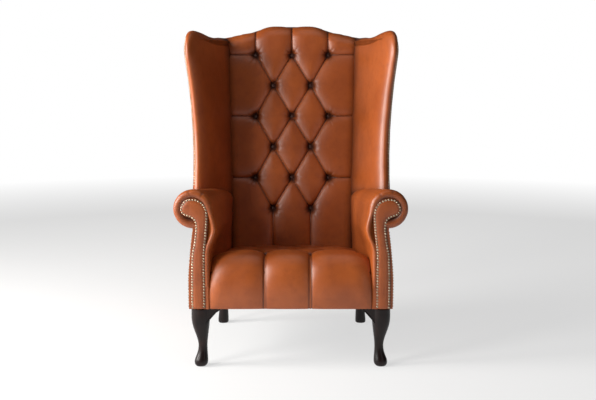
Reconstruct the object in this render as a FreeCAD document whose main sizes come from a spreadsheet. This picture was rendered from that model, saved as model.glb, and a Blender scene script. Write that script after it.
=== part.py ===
"""A high-backed wing armchair in deep buttoned leather, on dark cabriole legs.

A beech frame carries webbing, foam and leather-covered pads. The inside back and
the seat are buttoned: leather and fibre are drawn in at each button, and the slack
is folded into pleats that run from button to button in diamonds. The arms end in a
scroll, and a nailed facing closes the front of each.

Lengths are in millimetres. +X is the viewer's right when looking at the front, +Y
points to the back and +Z is up. Every y in this file is counted from the front
plane of the arm facings, and "facing_y" then moves each piece so that the origin
lies on the floor under the middle of the chair. Right-hand pieces are modelled, and
left-hand ones are their mirror images.
"""
import FreeCAD, Part
import math
import os
import re
import Sketcher
from FreeCAD import Placement, Rotation, Vector

SIZES = {
    # Seat frame
    "facing_y": -424.1,
    "leg_height": 220.0,
    "rail_height": 75.0,
    "rail_thickness": 26.0,
    "front_padding": 14.0,
    "corner_reach": 66.0,
    "corner_drop": 8.0,
    "corner_height": 56.0,
    "web_thickness": 3.0,
    "web_width": 52.0,
    "web_lap": 18.0,
    "cloth_thickness": 1.5,
    "cloth_inset": 12.0,
    # Arm facing, on the line of its nails
    "face_inner": 313.0,
    "face_width": 42.0,
    "straight_rise": 110.0,
    "neck_draw": 18.0,
    "neck_rise": 288.0,
    "nose_out": 5.0,
    "nose_rise": 369.0,
    "nose_radius": 29.5,
    "shoulder_in": 34.0,
    "shoulder_radius": 46.0,
    "waist_draw": 7.5,
    "waist_rise": 270.0,
    "waist_foot_rise": 180.0,
    "face_bulge": 0.62,
    "facing_thickness": 6.0,
    "facing_margin": 6.0,
    "stump_margin": 2.0,
    "stump_depth": 38.0,
    # Back frame
    "post_gap": 25.0,
    "post_flare": 0.02,
    "post_width": 40.0,
    "post_depth": 32.0,
    "post_drop": 66.0,
    "crest_rail_drop": 96.0,
    "crest_cover": 14.0,
    "lumbar_rise": 115.0,
    "lumbar_height": 48.0,
    "back_cover": 4.0,
    # Back pad
    "back_depth": 575.0,
    "back_line_rise": 180.0,
    "back_rake": 11.5,
    "back_pad": 75.0,
    "back_tuft": 35.0,
    "back_half": 247.0,
    "back_flare": 0.028,
    "back_low_rise": 86.0,
    "back_rise": 1042.0,
    "crest_flat": 88.0,
    "crest_run": 112.0,
    "shoulder_drop": 33.0,
    "corner_line_drop": 44.0,
    "crest_round": 30.0,
    "foam_drop": 92.0,
    # Buttons and pleats
    "row_rise": 278.0,
    "row_top_drop": 122.0,
    "close_gap": 79.0,
    "wide_step": 75.0,
    "button_radius": 11.0,
    "button_height": 7.0,
    "button_sink": 27.0,
    "pleat_sink": 14.0,
    "pleat_gap": 5.0,
    "edge_sink": 10.0,
    # Wings
    "wing_splay": 17.0,
    "wing_edge": 49.0,
    "wing_low_reach": 229.0,
    "wing_low_rise": 411.0,
    "wing_waist_reach": 184.0,
    "wing_waist_rise": 603.0,
    "wing_high_reach": 201.0,
    "wing_high_drop": 177.0,
    "wing_top_drop": 31.0,
    "wing_corner": 88.0,
    "wing_round": 22.0,
    "wing_low_cut": 260.0,
    "wing_board": 22.0,
    "wing_cover": 12.0,
    "wing_post_set": 26.0,
    "wing_post_width": 42.0,
    "wing_rail_drop": 72.0,
    "wing_rail_height": 46.0,
    "wing_inset": 27.0,
    # Arms
    "arm_slope": 7.2,
    "arm_rise": 443.0,
    "roll_out": 39.0,
    "roll_radius": 72.0,
    "roll_back_gap": 15.0,
    "roll_back_out": 53.0,
    "roll_back_radius": 51.0,
    "roll_edge": 14.0,
    "foot_set": 21.0,
    "foot_back_out": 5.0,
    "arm_belly": 14.0,
    "arm_pad": 26.0,
    "arm_rail_width": 50.0,
    "arm_rail_height": 30.0,
    "arm_rail_drop": 8.0,
    "arm_rail_inset": 5.0,
    "slat_thickness": 20.0,
    "slat_height": 44.0,
    "strip_set": 16.0,
    "flank_out": 14.0,
    "flank_neck_out": 15.0,
    "flank_cover": 12.0,
    "flank_back_cover": 5.0,
    # Seat
    "seat_rise": 204.0,
    "seat_crest_y": 76.0,
    "seat_pitch": 8.4,
    "seat_swell": 13.0,
    "seat_round": 60.0,
    "seat_corner": 54.0,
    "foam_sink": 68.0,
    "seat_tuft": 38.0,
    "seat_row_y": 140.0,
    "seat_row_rear": 45.0,
    "seat_button_left": 95.0,
    "seat_button_right": 71.0,
    "seat_pleat": 17.0,
    # Legs
    "leg_set": 33.0,
    "leg_inset": 31.0,
    "knee_half": 29.0,
    "knee_length": 60.0,
    "ankle_half": 14.8,
    "ankle_z": 80.0,
    "ankle_back": 7.5,
    "foot_half": 23.0,
    "foot_z": 21.0,
    "foot_out": 2.4,
    "sole_half": 12.0,
    "ear_reach": 38.0,
    "ear_drop": 62.0,
    "ear_depth": 24.0,
    "ear_hollow": 0.45,
    "rear_leg_half": 19.0,
    "rear_leg_waist": 16.0,
    "rear_foot_half": 21.0,
    "rear_leg_sweep": 20.0,
    "rear_leg_splay": 0.3,
    "bolt_radius": 4.0,
    "bolt_bite": 36.0,
}

# Places that follow from the sizes above: heights from the legs, the seat or the crest,
# widths from the facings and the inside back, and depths from the face of the back.
PLACES = {
    "face_straight": "leg_height + straight_rise",
    "face_outer": "face_inner + face_width",
    "neck_outer": "face_outer - neck_draw",
    "neck_low": "leg_height + neck_rise",
    "nose_x": "face_outer + nose_out",
    "nose_z": "leg_height + nose_rise",
    "shoulder_x": "face_inner + shoulder_in",
    "waist_inner": "face_inner - waist_draw",
    "waist_z": "leg_height + waist_rise",
    "waist_foot": "leg_height + waist_foot_rise",
    "post_inner": "back_half + post_gap",
    "post_top": "crest_height - post_drop",
    "lumbar_low": "leg_height + lumbar_rise",
    "back_line": "leg_height + back_line_rise",
    "back_low": "leg_height + back_low_rise",
    "crest_height": "leg_height + back_rise",
    "crest_shoulder": "crest_flat + crest_run",
    "shoulder_height": "crest_height - shoulder_drop",
    "corner_line": "crest_height - corner_line_drop",
    "foam_top": "crest_height - foam_drop",
    "row_low": "leg_height + row_rise",
    "row_top": "crest_height - row_top_drop",
    "wide_gap": "close_gap + wide_step",
    "wing_low_y": "back_depth - wing_low_reach",
    "wing_low_z": "leg_height + wing_low_rise",
    "wing_waist_y": "back_depth - wing_waist_reach",
    "wing_waist_z": "leg_height + wing_waist_rise",
    "wing_high_y": "back_depth - wing_high_reach",
    "wing_high_z": "crest_height - wing_high_drop",
    "wing_top": "crest_height - wing_top_drop",
    "wing_low": "leg_height + wing_low_cut",
    "wing_post_y": "wing_waist_y + wing_post_set",
    "wing_rail_top": "crest_height - wing_rail_drop",
    "arm_top": "leg_height + arm_rise",
    "roll_x": "face_inner + roll_out",
    "roll_back_y": "back_depth - roll_back_gap",
    "roll_back_x": "back_half + roll_back_out",
    "arm_foot": "face_inner - foot_set",
    "arm_foot_back": "back_half + foot_back_out",
    "strip_inner": "face_inner - strip_set",
    "flank_outer": "face_outer + flank_out",
    "flank_neck": "neck_outer + flank_neck_out",
    "seat_line": "leg_height + seat_rise",
    "foam_line": "seat_line - foam_sink",
    "seat_row_last": "back_depth - seat_row_rear",
    "leg_x": "face_outer - leg_set",
}

doc = FreeCAD.newDocument("wing_armchair")
sheet = doc.addObject("Spreadsheet::Sheet", "Sizes")
for row, (alias, value) in enumerate(SIZES.items(), start=1):
    sheet.set(f"A{row}", alias)
    sheet.set(f"B{row}", str(value))
    sheet.setAlias(f"B{row}", alias)
doc.recompute()

parts = {}
BEYOND = 1500.0
PLANES = {
    "plan": Rotation(),
    "front": Rotation(Vector(1, 0, 0), 90),
    "side": Rotation(0.5, 0.5, 0.5, 0.5),
}


ALIAS = re.compile(r"[a-z]+(_[a-z]+)+")


def driven(text):
    """A sum with each place in it written out in the sizes that drive it."""
    while any(word[0] in PLACES for word in ALIAS.finditer(text)):
        text = ALIAS.sub(lambda word: f"({PLACES[word[0]]})" if word[0] in PLACES else word[0], text)
    return text


def size(text):
    """The value of a size or a place, or of a sum of them."""
    return float(sheet.evalExpression(driven(text)))


def bound(text):
    """The same sum, written so that another object's property can hold it."""
    return ALIAS.sub(r"Sizes.\g<0>", driven(text))


def keep(node, obj):
    """Names a finished sub-part. The name is also that of its file."""
    obj.Label = node
    parts[node] = obj
    return obj


def shape_of(node):
    """A finished sub-part's shape, moved back to count y from the facings."""
    shape = parts[node].Shape.copy()
    shape.translate(Vector(0, -size("facing_y"), 0))
    return shape


def feature(node, shape):
    """A sub-part made from a shape whose y is counted from the facings."""
    obj = doc.addObject("Part::Feature", node)
    obj.Shape = shape
    obj.Placement = Placement(Vector(0, size("facing_y"), 0), Rotation())
    return keep(node, obj)


def mirror_image(shape):
    return shape.mirror(Vector(0, 0, 0), Vector(1, 0, 0))


def pair(name):
    """Makes the left-hand twin of a right-hand piece."""
    obj = doc.addObject("Part::Mirroring", f"{name}_left")
    obj.Source = parts[f"{name}_right"]
    obj.Normal = Vector(1, 0, 0)
    doc.recompute()
    return keep(f"{name}_left", obj)


def arc_through(start, via, end):
    """An arc through three points, turning anticlockwise as sketches want it."""
    circle = Part.Circle(start, via, end)
    middle = circle.Center
    if (via - start).cross(end - via).z < 0:
        start, end = end, start
    first, last = (math.atan2(p.y - middle.y, p.x - middle.x) for p in (start, end))
    if last < first:
        last += 2 * math.pi
    level = Part.Circle(middle, Vector(0, 0, 1), circle.Radius)
    return Part.ArcOfCircle(level, first, last)


def draw(sketch, outline):
    """Draws a closed outline of lines and arcs, with every point bound to the sheet.

    Each entry is a corner (x, y), or a corner and the point (x, y) that the arc
    leading to it passes through.
    """
    corners = [entry[:2] for entry in outline]
    points = [Vector(size(x), size(y), 0) for x, y in corners]
    edges = []
    for i, entry in enumerate(outline):
        if len(entry) == 2:
            edges.append(Part.LineSegment(points[i - 1], points[i]))
        else:
            edges.append(arc_through(points[i - 1], Vector(size(entry[2]), size(entry[3]), 0), points[i]))
    ids = sketch.addGeometry(edges, False)

    def hold(geometry, vertex, x, y):
        for kind, text in (("DistanceX", x), ("DistanceY", y)):
            rule = Sketcher.Constraint(kind, -1, 1, geometry, vertex, size(text))
            number = sketch.addConstraint(rule)
            sketch.setExpression(f"Constraints[{number}]", bound(text))

    for i, entry in enumerate(outline):
        arc = len(entry) > 2
        ahead = sketch.Geometry[ids[i]].EndPoint.distanceToPoint(points[i]) < 1e-6
        last = 2 if ahead else 1
        hold(ids[i], last, *corners[i])
        hold(ids[i], 3 - last, *corners[i - 1])
        if arc:
            middle = sketch.addGeometry(Part.Point(Vector(size(entry[2]), size(entry[3]), 0)), True)
            hold(middle, 1, entry[2], entry[3])
            sketch.addConstraint(Sketcher.Constraint("PointOnObject", middle, 1, ids[i]))


def prism(name, plane, outline, start, length):
    """An outline drawn on a plane and extruded from one distance along its normal."""
    sketch = doc.addObject("Sketcher::SketchObject", f"{name}_outline")
    sketch.Placement = Placement(Vector(0, size("facing_y"), 0), PLANES[plane])
    draw(sketch, outline)
    base = {"plan": "z", "front": "y", "side": "x"}[plane]
    sketch.setExpression("Placement.Base.y", "Sizes.facing_y")
    shift = f"facing_y + {start}" if base == "y" else start
    sketch.setExpression(f"Placement.Base.{base}", bound(shift))
    solid = doc.addObject("Part::Extrusion", name)
    solid.Base = sketch
    solid.Solid = True
    solid.DirMode = "Custom"
    solid.Dir = {"plan": Vector(0, 0, 1), "front": Vector(0, 1, 0), "side": Vector(1, 0, 0)}[plane]
    solid.setExpression("LengthFwd", bound(length))
    return solid


def crossed(node, first, second):
    """A board cut to two outlines, each seen from its own side."""
    blanks = []
    for i, (plane, outline, start, length) in enumerate((first, second)):
        blanks.append(prism(f"{node}_cut_{i}", plane, outline, start, length))
    board = doc.addObject("Part::Common", node)
    board.Base, board.Tool = blanks
    doc.recompute()
    return keep(node, board)


def box(node, x, y, z, length, width, height):
    """A plain board from its near corner and its three sizes."""
    board = doc.addObject("Part::Box", node)
    for field, text in (("Length", length), ("Width", width), ("Height", height)):
        board.setExpression(field, bound(text))
    for axis, text in (("x", x), ("y", f"facing_y + {y}"), ("z", z)):
        board.setExpression(f"Placement.Base.{axis}", bound(text))
    doc.recompute()
    return keep(node, board)


def new_body(node):
    body = doc.addObject("PartDesign::Body", node)
    body.setExpression("Placement.Base.y", "Sizes.facing_y")
    return body


def body_sketch(body, role, name, lift):
    """A sketch on one of the body's own origin planes, lifted off it."""
    sketch = body.newObject("Sketcher::SketchObject", name)
    plane = next(item for item in body.Origin.OriginFeatures if item.Role == role)
    sketch.AttachmentSupport = [(plane, "")]
    sketch.MapMode = "FlatFace"
    sketch.setExpression("AttachmentOffset.Base.z", bound(lift))
    return sketch


def raked(height, behind="0"):
    """The y of the back's raked plane at a height, or of a plane behind it."""
    return f"(back_depth + (({height}) - back_line) * tan(back_rake) + ({behind}))"


def slope_point(height, behind=0.0):
    return size(raked(repr(height), repr(behind)))


RAIL_TOP = "(leg_height + rail_height)"
FRAME_BACK = "(back_pad + post_depth)"
POST_INNER = "(post_inner + post_flare * (leg_height - back_line))"
POST_OUTER = f"({POST_INNER} + post_width)"
STUMP_BACK = "(facing_thickness + stump_depth)"
STUMP_INNER = "(face_inner - stump_margin)"
STUMP_OUTER = "(face_outer + stump_margin)"


def post_x(height, outward="0"):
    """The inner side of a back post, which leans outwards, or a place beyond it."""
    return f"(post_inner + post_flare * (({height}) - back_line) + ({outward}))"


def taper(at_front, at_back, y):
    """A width that runs straight from the back of the stump to the foot of the post."""
    run = f"(({y}) - {STUMP_BACK}) / ({raked('leg_height', 'back_pad')} - {STUMP_BACK})"
    return f"({at_front} + ({at_back} - {at_front}) * {run})"


def tapered(front_inner, front_outer, back_inner, back_outer):
    """The plan of a board that runs from behind the stump to beyond the post's face."""
    near, far = STUMP_BACK, raked("crest_height", "back_pad")
    return [
        (taper(front_inner, back_inner, near), near),
        (taper(front_outer, back_outer, near), near),
        (taper(front_outer, back_outer, far), far),
        (taper(front_inner, back_inner, far), far),
    ]


# Seat frame: four rails between the stumps and the back posts, with glue blocks.
box("front_rail", f"-{STUMP_INNER}", "front_padding", "leg_height",
    f"2 * {STUMP_INNER}", "rail_thickness", "rail_height")

rail_side = [
    (STUMP_BACK, "leg_height"),
    (raked("leg_height", "back_pad"), "leg_height"),
    (raked(RAIL_TOP, "back_pad"), RAIL_TOP),
    (STUMP_BACK, RAIL_TOP),
]
RAIL_IN = (f"({STUMP_OUTER} - rail_thickness)", f"({POST_OUTER} - rail_thickness)")
crossed(
    "side_rail_right",
    ("plan", tapered(RAIL_IN[0], STUMP_OUTER, RAIL_IN[1], POST_OUTER), "leg_height", "rail_height"),
    ("side", rail_side, "0", str(BEYOND)),
)


def cross_rail(node, low, high, front, back):
    """A rail across the raked back, cut to fit between the two posts."""
    side_view = [
        (raked(low, front), low),
        (raked(low, back), low),
        (raked(high, back), high),
        (raked(high, front), high),
    ]
    front_view = [
        (post_x(low), low),
        (post_x(high), high),
        (f"-{post_x(high)}", high),
        (f"-{post_x(low)}", low),
    ]
    return crossed(
        node,
        ("side", side_view, f"-{post_x('crest_height')}", f"2 * {post_x('crest_height')}"),
        ("front", front_view, "0", str(BEYOND)),
    )


cross_rail("back_rail", "leg_height", RAIL_TOP, "back_pad", FRAME_BACK)
cross_rail("lumbar_rail", "lumbar_low", "(lumbar_low + lumbar_height)", "back_pad", FRAME_BACK)

post_side = [
    (raked("leg_height", "back_pad"), "leg_height"),
    (raked("leg_height", FRAME_BACK), "leg_height"),
    (raked("post_top", FRAME_BACK), "post_top"),
    (raked("post_top", "back_pad"), "post_top"),
]
post_front = [
    (post_x("leg_height"), "leg_height"),
    (post_x("leg_height", "post_width"), "leg_height"),
    (post_x("post_top", "post_width"), "post_top"),
    (post_x("post_top"), "post_top"),
]


def crest_outline(beyond_post, sink, low):
    """The serpentine crest over a straight-sided panel, seen from the front."""
    half_low = post_x(low, beyond_post)
    drop = "(crest_height - shoulder_height)"
    run = "(crest_shoulder - crest_flat)"
    radius = f"(({run}^2 + {drop}^2) / (4 * {drop}))"
    middle_x = "((crest_flat + crest_shoulder) / 2)"
    middle_z = f"((crest_height + shoulder_height) / 2 - {sink})"
    quarter = f"({run} / 4)"
    dip = f"({radius} - sqrt({radius}^2 - {quarter}^2))"
    run_out = f"({post_x('corner_line', beyond_post)} - crest_shoulder)"
    pad_out = "(back_half + back_flare * (corner_line - back_line) - crest_shoulder)"
    edge = f"(shoulder_height + (corner_line - shoulder_height) * {run_out} / {pad_out} - {sink})"
    half = post_x(edge, beyond_post)
    top = f"(crest_height - {sink})"
    foot = f"(shoulder_height - {sink})"
    right = [
        (half, edge),
        ("crest_shoulder", foot),
        (middle_x, middle_z, f"(crest_shoulder - {quarter})", f"({foot} + {dip})"),
        ("crest_flat", top, f"(crest_flat + {quarter})", f"({top} - {dip})"),
    ]
    left = [
        ("-crest_flat", top),
        (f"-{middle_x}", middle_z, f"-(crest_flat + {quarter})", f"({top} - {dip})"),
        ("-crest_shoulder", foot, f"-(crest_shoulder - {quarter})", f"({foot} + {dip})"),
        (f"-({half})", edge),
    ]
    return [(half_low, low)] + right + left + [(f"-({half_low})", low)]


def back_band(front, back, low="leg_height"):
    """The side view of a slab that follows the rake from the rails to above the crest."""
    high = "(crest_height + rail_height)"
    return [
        (raked(low, front), low),
        (raked(low, back), low),
        (raked(high, back), high),
        (raked(high, front), high),
    ]


HALF_SPAN = post_x("crest_height", "post_width")
CREST_RAIL_LOW = "(crest_height - crest_rail_drop)"
crossed(
    "crest_rail",
    ("front", crest_outline("0", "crest_cover", CREST_RAIL_LOW), "0", str(BEYOND)),
    ("side", back_band("back_pad", FRAME_BACK), f"-{HALF_SPAN}", f"2 * {HALF_SPAN}"),
)
crossed(
    "outside_back",
    ("front", crest_outline("post_width", "0", "leg_height"), "0", str(BEYOND)),
    ("side", back_band(FRAME_BACK, f"({FRAME_BACK} + back_cover)"), f"-{HALF_SPAN}", f"2 * {HALF_SPAN}"),
)


def facing_outline(grow):
    """The scroll of the arm's front, drawn on the line of the nails and grown outwards."""
    top = f"(nose_z + nose_radius + {grow})"
    hook = f"(nose_x - neck_outer - {grow})"
    hook_z = "(nose_z - nose_radius - nose_x + neck_outer)"
    side_z = "(nose_z + nose_radius - shoulder_radius)"
    nose = f"(nose_radius + {grow})"
    bend = f"(shoulder_radius + {grow})"
    outer = f"(face_outer + {grow})"
    bulge_x = f"(neck_outer + face_bulge * (face_outer - neck_outer) + {grow})"
    return [
        (f"(face_inner - {grow})", "leg_height"),
        (outer, "leg_height"),
        (outer, "face_straight"),
        (f"(neck_outer + {grow})", "neck_low", bulge_x, "((face_straight + neck_low) / 2)"),
        (f"(neck_outer + {grow})", hook_z),
        ("nose_x", f"(nose_z - {nose})", f"(nose_x - {hook} * cos(45))", f"({hook_z} + {hook} * cos(45))"),
        (f"(nose_x + {nose})", "nose_z", f"(nose_x + {nose} * cos(45))", f"(nose_z - {nose} * cos(45))"),
        ("nose_x", top, f"(nose_x + {nose} * cos(45))", f"(nose_z + {nose} * cos(45))"),
        ("shoulder_x", top),
        (f"(shoulder_x - {bend})", side_z,
         f"(shoulder_x - {bend} * cos(45))", f"({side_z} + {bend} * cos(45))"),
        (f"(waist_inner - {grow})", "waist_z"),
        (f"(face_inner - {grow})", "waist_foot"),
    ]


def drill(body, x, y, upwards):
    """A bolt's hole, from the joint between leg and post."""
    sketch = body_sketch(body, "XY_Plane", "bolt_centre", "leg_height")
    rim = sketch.addGeometry(Part.Circle(Vector(size(x), size(y), 0), Vector(0, 0, 1), size("bolt_radius")))
    for kind, text in (("DistanceX", x), ("DistanceY", y)):
        number = sketch.addConstraint(Sketcher.Constraint(kind, -1, 1, rim, 3, size(text)))
        sketch.setExpression(f"Constraints[{number}]", bound(text))
    number = sketch.addConstraint(Sketcher.Constraint("Radius", rim, size("bolt_radius")))
    sketch.setExpression(f"Constraints[{number}]", bound("bolt_radius"))
    hole = body.newObject("PartDesign::Pocket", "bolt_hole")
    hole.Profile = sketch
    hole.Reversed = upwards
    hole.setExpression("Length", bound("bolt_bite"))


def scroll_board(node, grow, start, depth):
    """The facing, or the stump behind it: one scroll outline, padded to its thickness."""
    body = new_body(node)
    sketch = body_sketch(body, "XZ_Plane", f"{node}_outline", f"-({start})")
    draw(sketch, facing_outline(grow))
    pad = body.newObject("PartDesign::Pad", f"{node}_board")
    pad.Profile = sketch
    pad.Reversed = True
    pad.setExpression("Length", bound(depth))
    doc.recompute()
    return keep(node, body)


stump = scroll_board("arm_stump_right", "stump_margin", "facing_thickness", "stump_depth")
drill(stump, "leg_x", "leg_inset", True)
scroll_board("arm_facing_right", "facing_margin", "0", "facing_thickness")
doc.recompute()

# Arm frame: a rail under the roll and a slat that the inside arm is tacked to.
ARM_FALL = "tan(arm_slope)"
ROLL_RUN = "(roll_back_y - facing_thickness)"


def roll_radius(y):
    run = f"((({y}) - facing_thickness) / {ROLL_RUN})"
    return f"(roll_radius + (roll_back_radius - roll_radius) * {run})"


def roll_centre_x(y):
    return f"(roll_x + (roll_back_x - roll_x) * (({y}) - facing_thickness) / {ROLL_RUN})"


def roll_centre_z(y):
    return f"(arm_top - ({y}) * {ARM_FALL} - {roll_radius(y)})"


def arm_foot(y):
    run = f"((({y}) - facing_thickness) / {ROLL_RUN})"
    return f"(arm_foot + (arm_foot_back - arm_foot) * {run})"


def arm_rail_low(y):
    return f"({roll_centre_z(y)} - arm_rail_drop - arm_rail_height / 2)"


FAR = raked(roll_centre_z("roll_back_y"), "back_pad")
arm_rail_plan = tapered(
    f"({arm_foot(STUMP_BACK)} + arm_pad)",
    f"({arm_foot(STUMP_BACK)} + arm_pad + arm_rail_width)",
    f"({POST_INNER} + arm_rail_inset)",
    f"({POST_INNER} + arm_rail_inset + arm_rail_width)",
)


def sloping(low_near, low_far, height):
    """The side view of a board that falls to the back and ends on the raked posts."""
    end_low = raked(low_far, "back_pad")
    end_high = raked(f"({low_far} + {height})", "back_pad")
    return [
        (STUMP_BACK, low_near),
        (end_low, low_far),
        (end_high, f"({low_far} + {height})"),
        (STUMP_BACK, f"({low_near} + {height})"),
    ]


crossed(
    "arm_rail_right",
    ("plan", arm_rail_plan, "leg_height", str(BEYOND)),
    ("side", sloping(arm_rail_low(STUMP_BACK), arm_rail_low(FAR), "arm_rail_height"), "0", str(BEYOND)),
)
SLAT_LOW = f"({RAIL_TOP} + 3 * web_thickness)"
slat_plan = tapered(
    f"({arm_foot(STUMP_BACK)} + arm_pad)",
    f"({arm_foot(STUMP_BACK)} + arm_pad + slat_thickness)",
    f"({arm_foot(FAR)} + arm_pad)",
    f"({arm_foot(FAR)} + arm_pad + slat_thickness)",
)
crossed(
    "arm_slat_right",
    ("plan", slat_plan, "leg_height", str(BEYOND)),
    ("side", sloping(SLAT_LOW, SLAT_LOW, "slat_height"), "0", str(BEYOND)),
)

# Glue blocks in the corners of the seat frame, notched round the stumps in front.
BLOCK_LOW = f"({RAIL_TOP} - corner_drop - corner_height)"
FRONT_BACK = "(front_padding + rail_thickness)"
front_block = [
    (f"({STUMP_INNER} - corner_reach)", FRONT_BACK),
    (STUMP_INNER, FRONT_BACK),
    (STUMP_INNER, STUMP_BACK),
    (RAIL_IN[0], STUMP_BACK),
    (taper(*RAIL_IN, f"({STUMP_BACK} + corner_reach)"), f"({STUMP_BACK} + corner_reach)"),
]
rear_face = raked("leg_height", "back_pad")
rear_far = raked("crest_height", "back_pad")
rear_block = [
    (taper(*RAIL_IN, f"({rear_face} - corner_reach)"), f"({rear_face} - corner_reach)"),
    (taper(*RAIL_IN, rear_far), rear_far),
    (f"({POST_INNER} - corner_reach)", rear_far),
    (f"({POST_INNER} - corner_reach)", rear_face),
]
block_band = [
    (STUMP_BACK, BLOCK_LOW),
    (raked(BLOCK_LOW, "back_pad"), BLOCK_LOW),
    (raked(f"({BLOCK_LOW} + corner_height)", "back_pad"), f"({BLOCK_LOW} + corner_height)"),
    (STUMP_BACK, f"({BLOCK_LOW} + corner_height)"),
]


def group(node, members):
    """Equal small pieces that stay separate solids in one sub-part."""
    compound = doc.addObject("Part::Compound", node)
    compound.Links = members
    doc.recompute()
    return keep(node, compound)


def both_sides(name, right):
    """A construction solid and its mirror image."""
    left = doc.addObject("Part::Mirroring", f"{name}_mirror")
    left.Source = right
    left.Normal = Vector(1, 0, 0)
    return [right, left]


front_glue = prism("front_glue", "plan", front_block, BLOCK_LOW, "corner_height")
rear_glue = doc.addObject("Part::Common", "rear_glue")
rear_glue.Base = prism("rear_glue_plan", "plan", rear_block, BLOCK_LOW, "corner_height")
rear_glue.Tool = prism("rear_glue_side", "side", block_band, "0", str(BEYOND))
group("corner_blocks", both_sides("front_glue", front_glue) + both_sides("rear_glue", rear_glue))

# Hanger bolts: each is screwed half into a leg and half into the post above it.
REAR_LEG_X = post_x("leg_height", "post_width / 2")
REAR_LEG_Y = raked("leg_height", "back_pad + post_depth / 2")


def bolt(name, x, y):
    rod = doc.addObject("Part::Cylinder", name)
    rod.setExpression("Radius", bound("bolt_radius"))
    rod.setExpression("Height", bound("2 * bolt_bite"))
    rod.setExpression("Placement.Base.x", bound(x))
    rod.setExpression("Placement.Base.y", bound(f"facing_y + {y}"))
    rod.setExpression("Placement.Base.z", bound("leg_height - bolt_bite"))
    return rod


front_bolt = bolt("front_bolt", "leg_x", "leg_inset")
rear_bolt = bolt("rear_bolt", REAR_LEG_X, REAR_LEG_Y)
group("leg_bolts", both_sides("front_bolt", front_bolt) + both_sides("rear_bolt", rear_bolt))

drilled = doc.addObject("Part::Common", "post_blank")
drilled.Base = prism("post_side", "side", post_side, "0", str(BEYOND))
drilled.Tool = prism("post_front", "front", post_front, "0", str(BEYOND))
post = doc.addObject("Part::Cut", "back_post_right")
post.Base = drilled
post.Tool = rear_bolt
doc.recompute()
keep("back_post_right", post)

# Webbing. Seat straps lap over the rails, and the cross straps lie on top of them.
SEAT_STRAPS = 5
CROSS_STRAPS = 4
BACK_STRAPS = 4
strap_solids = []
web = size("web_thickness")
wide = size("web_width")
lap = size("web_lap")
rail_top = size(RAIL_TOP)
near = size(f"({FRONT_BACK})") - lap
far = slope_point(rail_top, size("back_pad")) + lap
span = 2 * size("post_inner") - wide
for i in range(SEAT_STRAPS):
    x = -span / 2 + span * (i + 0.5) / SEAT_STRAPS - wide / 2
    strap_solids.append(Part.makeBox(wide, far - near, web, Vector(x, near, rail_top)))
run = far - near - 4 * lap
for i in range(CROSS_STRAPS):
    y = near + 2 * lap + run * (i + 0.5) / CROSS_STRAPS - wide / 2
    half = size(taper(*RAIL_IN, repr(y))) + lap
    strap_solids.append(Part.makeBox(2 * half, wide, web, Vector(-half, y, rail_top + web)))
feature("seat_webbing", Part.makeCompound(strap_solids))


def raked_prism(points, low, high):
    """A plan polygon, drawn at the back's reference line, swept up along the rake."""
    lean = math.tan(math.radians(size("back_rake")))
    base = size("back_line")
    corners = [Vector(x, y + (low - base) * lean, low) for x, y in points]
    face = Part.Face(Part.makePolygon(corners + corners[:1]))
    return face.extrude(Vector(0, (high - low) * lean, high - low))


lumbar_low = size("lumbar_low")
lumbar_top = size("lumbar_low + lumbar_height")
crest_low = size(CREST_RAIL_LOW)
pad_back = size("back_depth + back_pad")
strap_pitch = (2 * size("back_half") - wide) / BACK_STRAPS
back_straps = []
for i in range(BACK_STRAPS):
    x = strap_pitch * (i + 0.5 - BACK_STRAPS / 2)
    plan = [(x - wide / 2, pad_back - web), (x + wide / 2, pad_back - web),
            (x + wide / 2, pad_back), (x - wide / 2, pad_back)]
    back_straps.append(raked_prism(plan, lumbar_top - lap, crest_low + lap))
feature("back_webbing", Part.makeCompound(back_straps))


def half_space(point, normal):
    """A large block that lies on the side of a plane to which its normal points."""
    block = Part.makeBox(2 * BEYOND, 2 * BEYOND, BEYOND, Vector(-BEYOND, -BEYOND, 0))
    block.Placement = Placement(point, Rotation(Vector(0, 0, 1), normal))
    return block


FLATNESS = 1e-6


def chords(outline, steps):
    """An outline's points, with each of its arcs divided into short straight runs."""
    points = []
    for i, (x, y, *via) in enumerate(outline):
        end = Vector(x, y, 0)
        if via:
            start = Vector(*outline[i - 1][:2], 0)
            arc = Part.Arc(start, Vector(*via, 0), end)
            span = arc.LastParameter - arc.FirstParameter
            points += [arc.value(arc.FirstParameter + span * k / steps) for k in range(1, steps)]
        points.append(end)
    return points


def loop(points):
    return Part.makePolygon(points + points[:1])


def facets(near_0, near_1, far_1, far_0):
    """The flat face between four corners, or two where they don't lie in one plane."""
    normal = (near_1 - near_0).cross(far_0 - near_0).normalize()
    if abs((far_1 - near_0).dot(normal)) < FLATNESS:
        return [Part.Face(loop([near_0, near_1, far_1, far_0]))]
    if near_0.distanceToPoint(far_1) < near_1.distanceToPoint(far_0):
        corners = [[near_0, near_1, far_1], [near_0, far_1, far_0]]
    else:
        corners = [[near_0, near_1, far_0], [near_1, far_1, far_0]]
    return [Part.Face(loop(triangle)) for triangle in corners]


def loft(rings):
    """A solid with flat facets through a row of outlines that have equally many points."""
    faces = [Part.Face(loop(rings[0])), Part.Face(loop(rings[-1]))]
    for near, far in zip(rings, rings[1:]):
        for i in range(len(near)):
            faces += facets(near[i - 1], near[i], far[i], far[i - 1])
    solid = Part.Solid(Part.Shell(faces))
    if solid.Volume < 0:
        solid.reverse()
    return solid


def in_space(plane, outline, steps, shift=0.0):
    """An outline's points on one of the three planes, moved along the y axis."""
    turn = PLANES[plane]
    return [turn.multVec(point) + Vector(0, shift, 0) for point in chords(outline, steps)]


def wire_of(plane, outline, steps=1):
    """The same kind of outline as a sketch's, as a wire of straight runs in space."""
    return loop(in_space(plane, outline, steps))


def measured(outline):
    """An outline's sums worked out to plain numbers."""
    return [tuple(size(text) for text in entry) for entry in outline]


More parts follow.
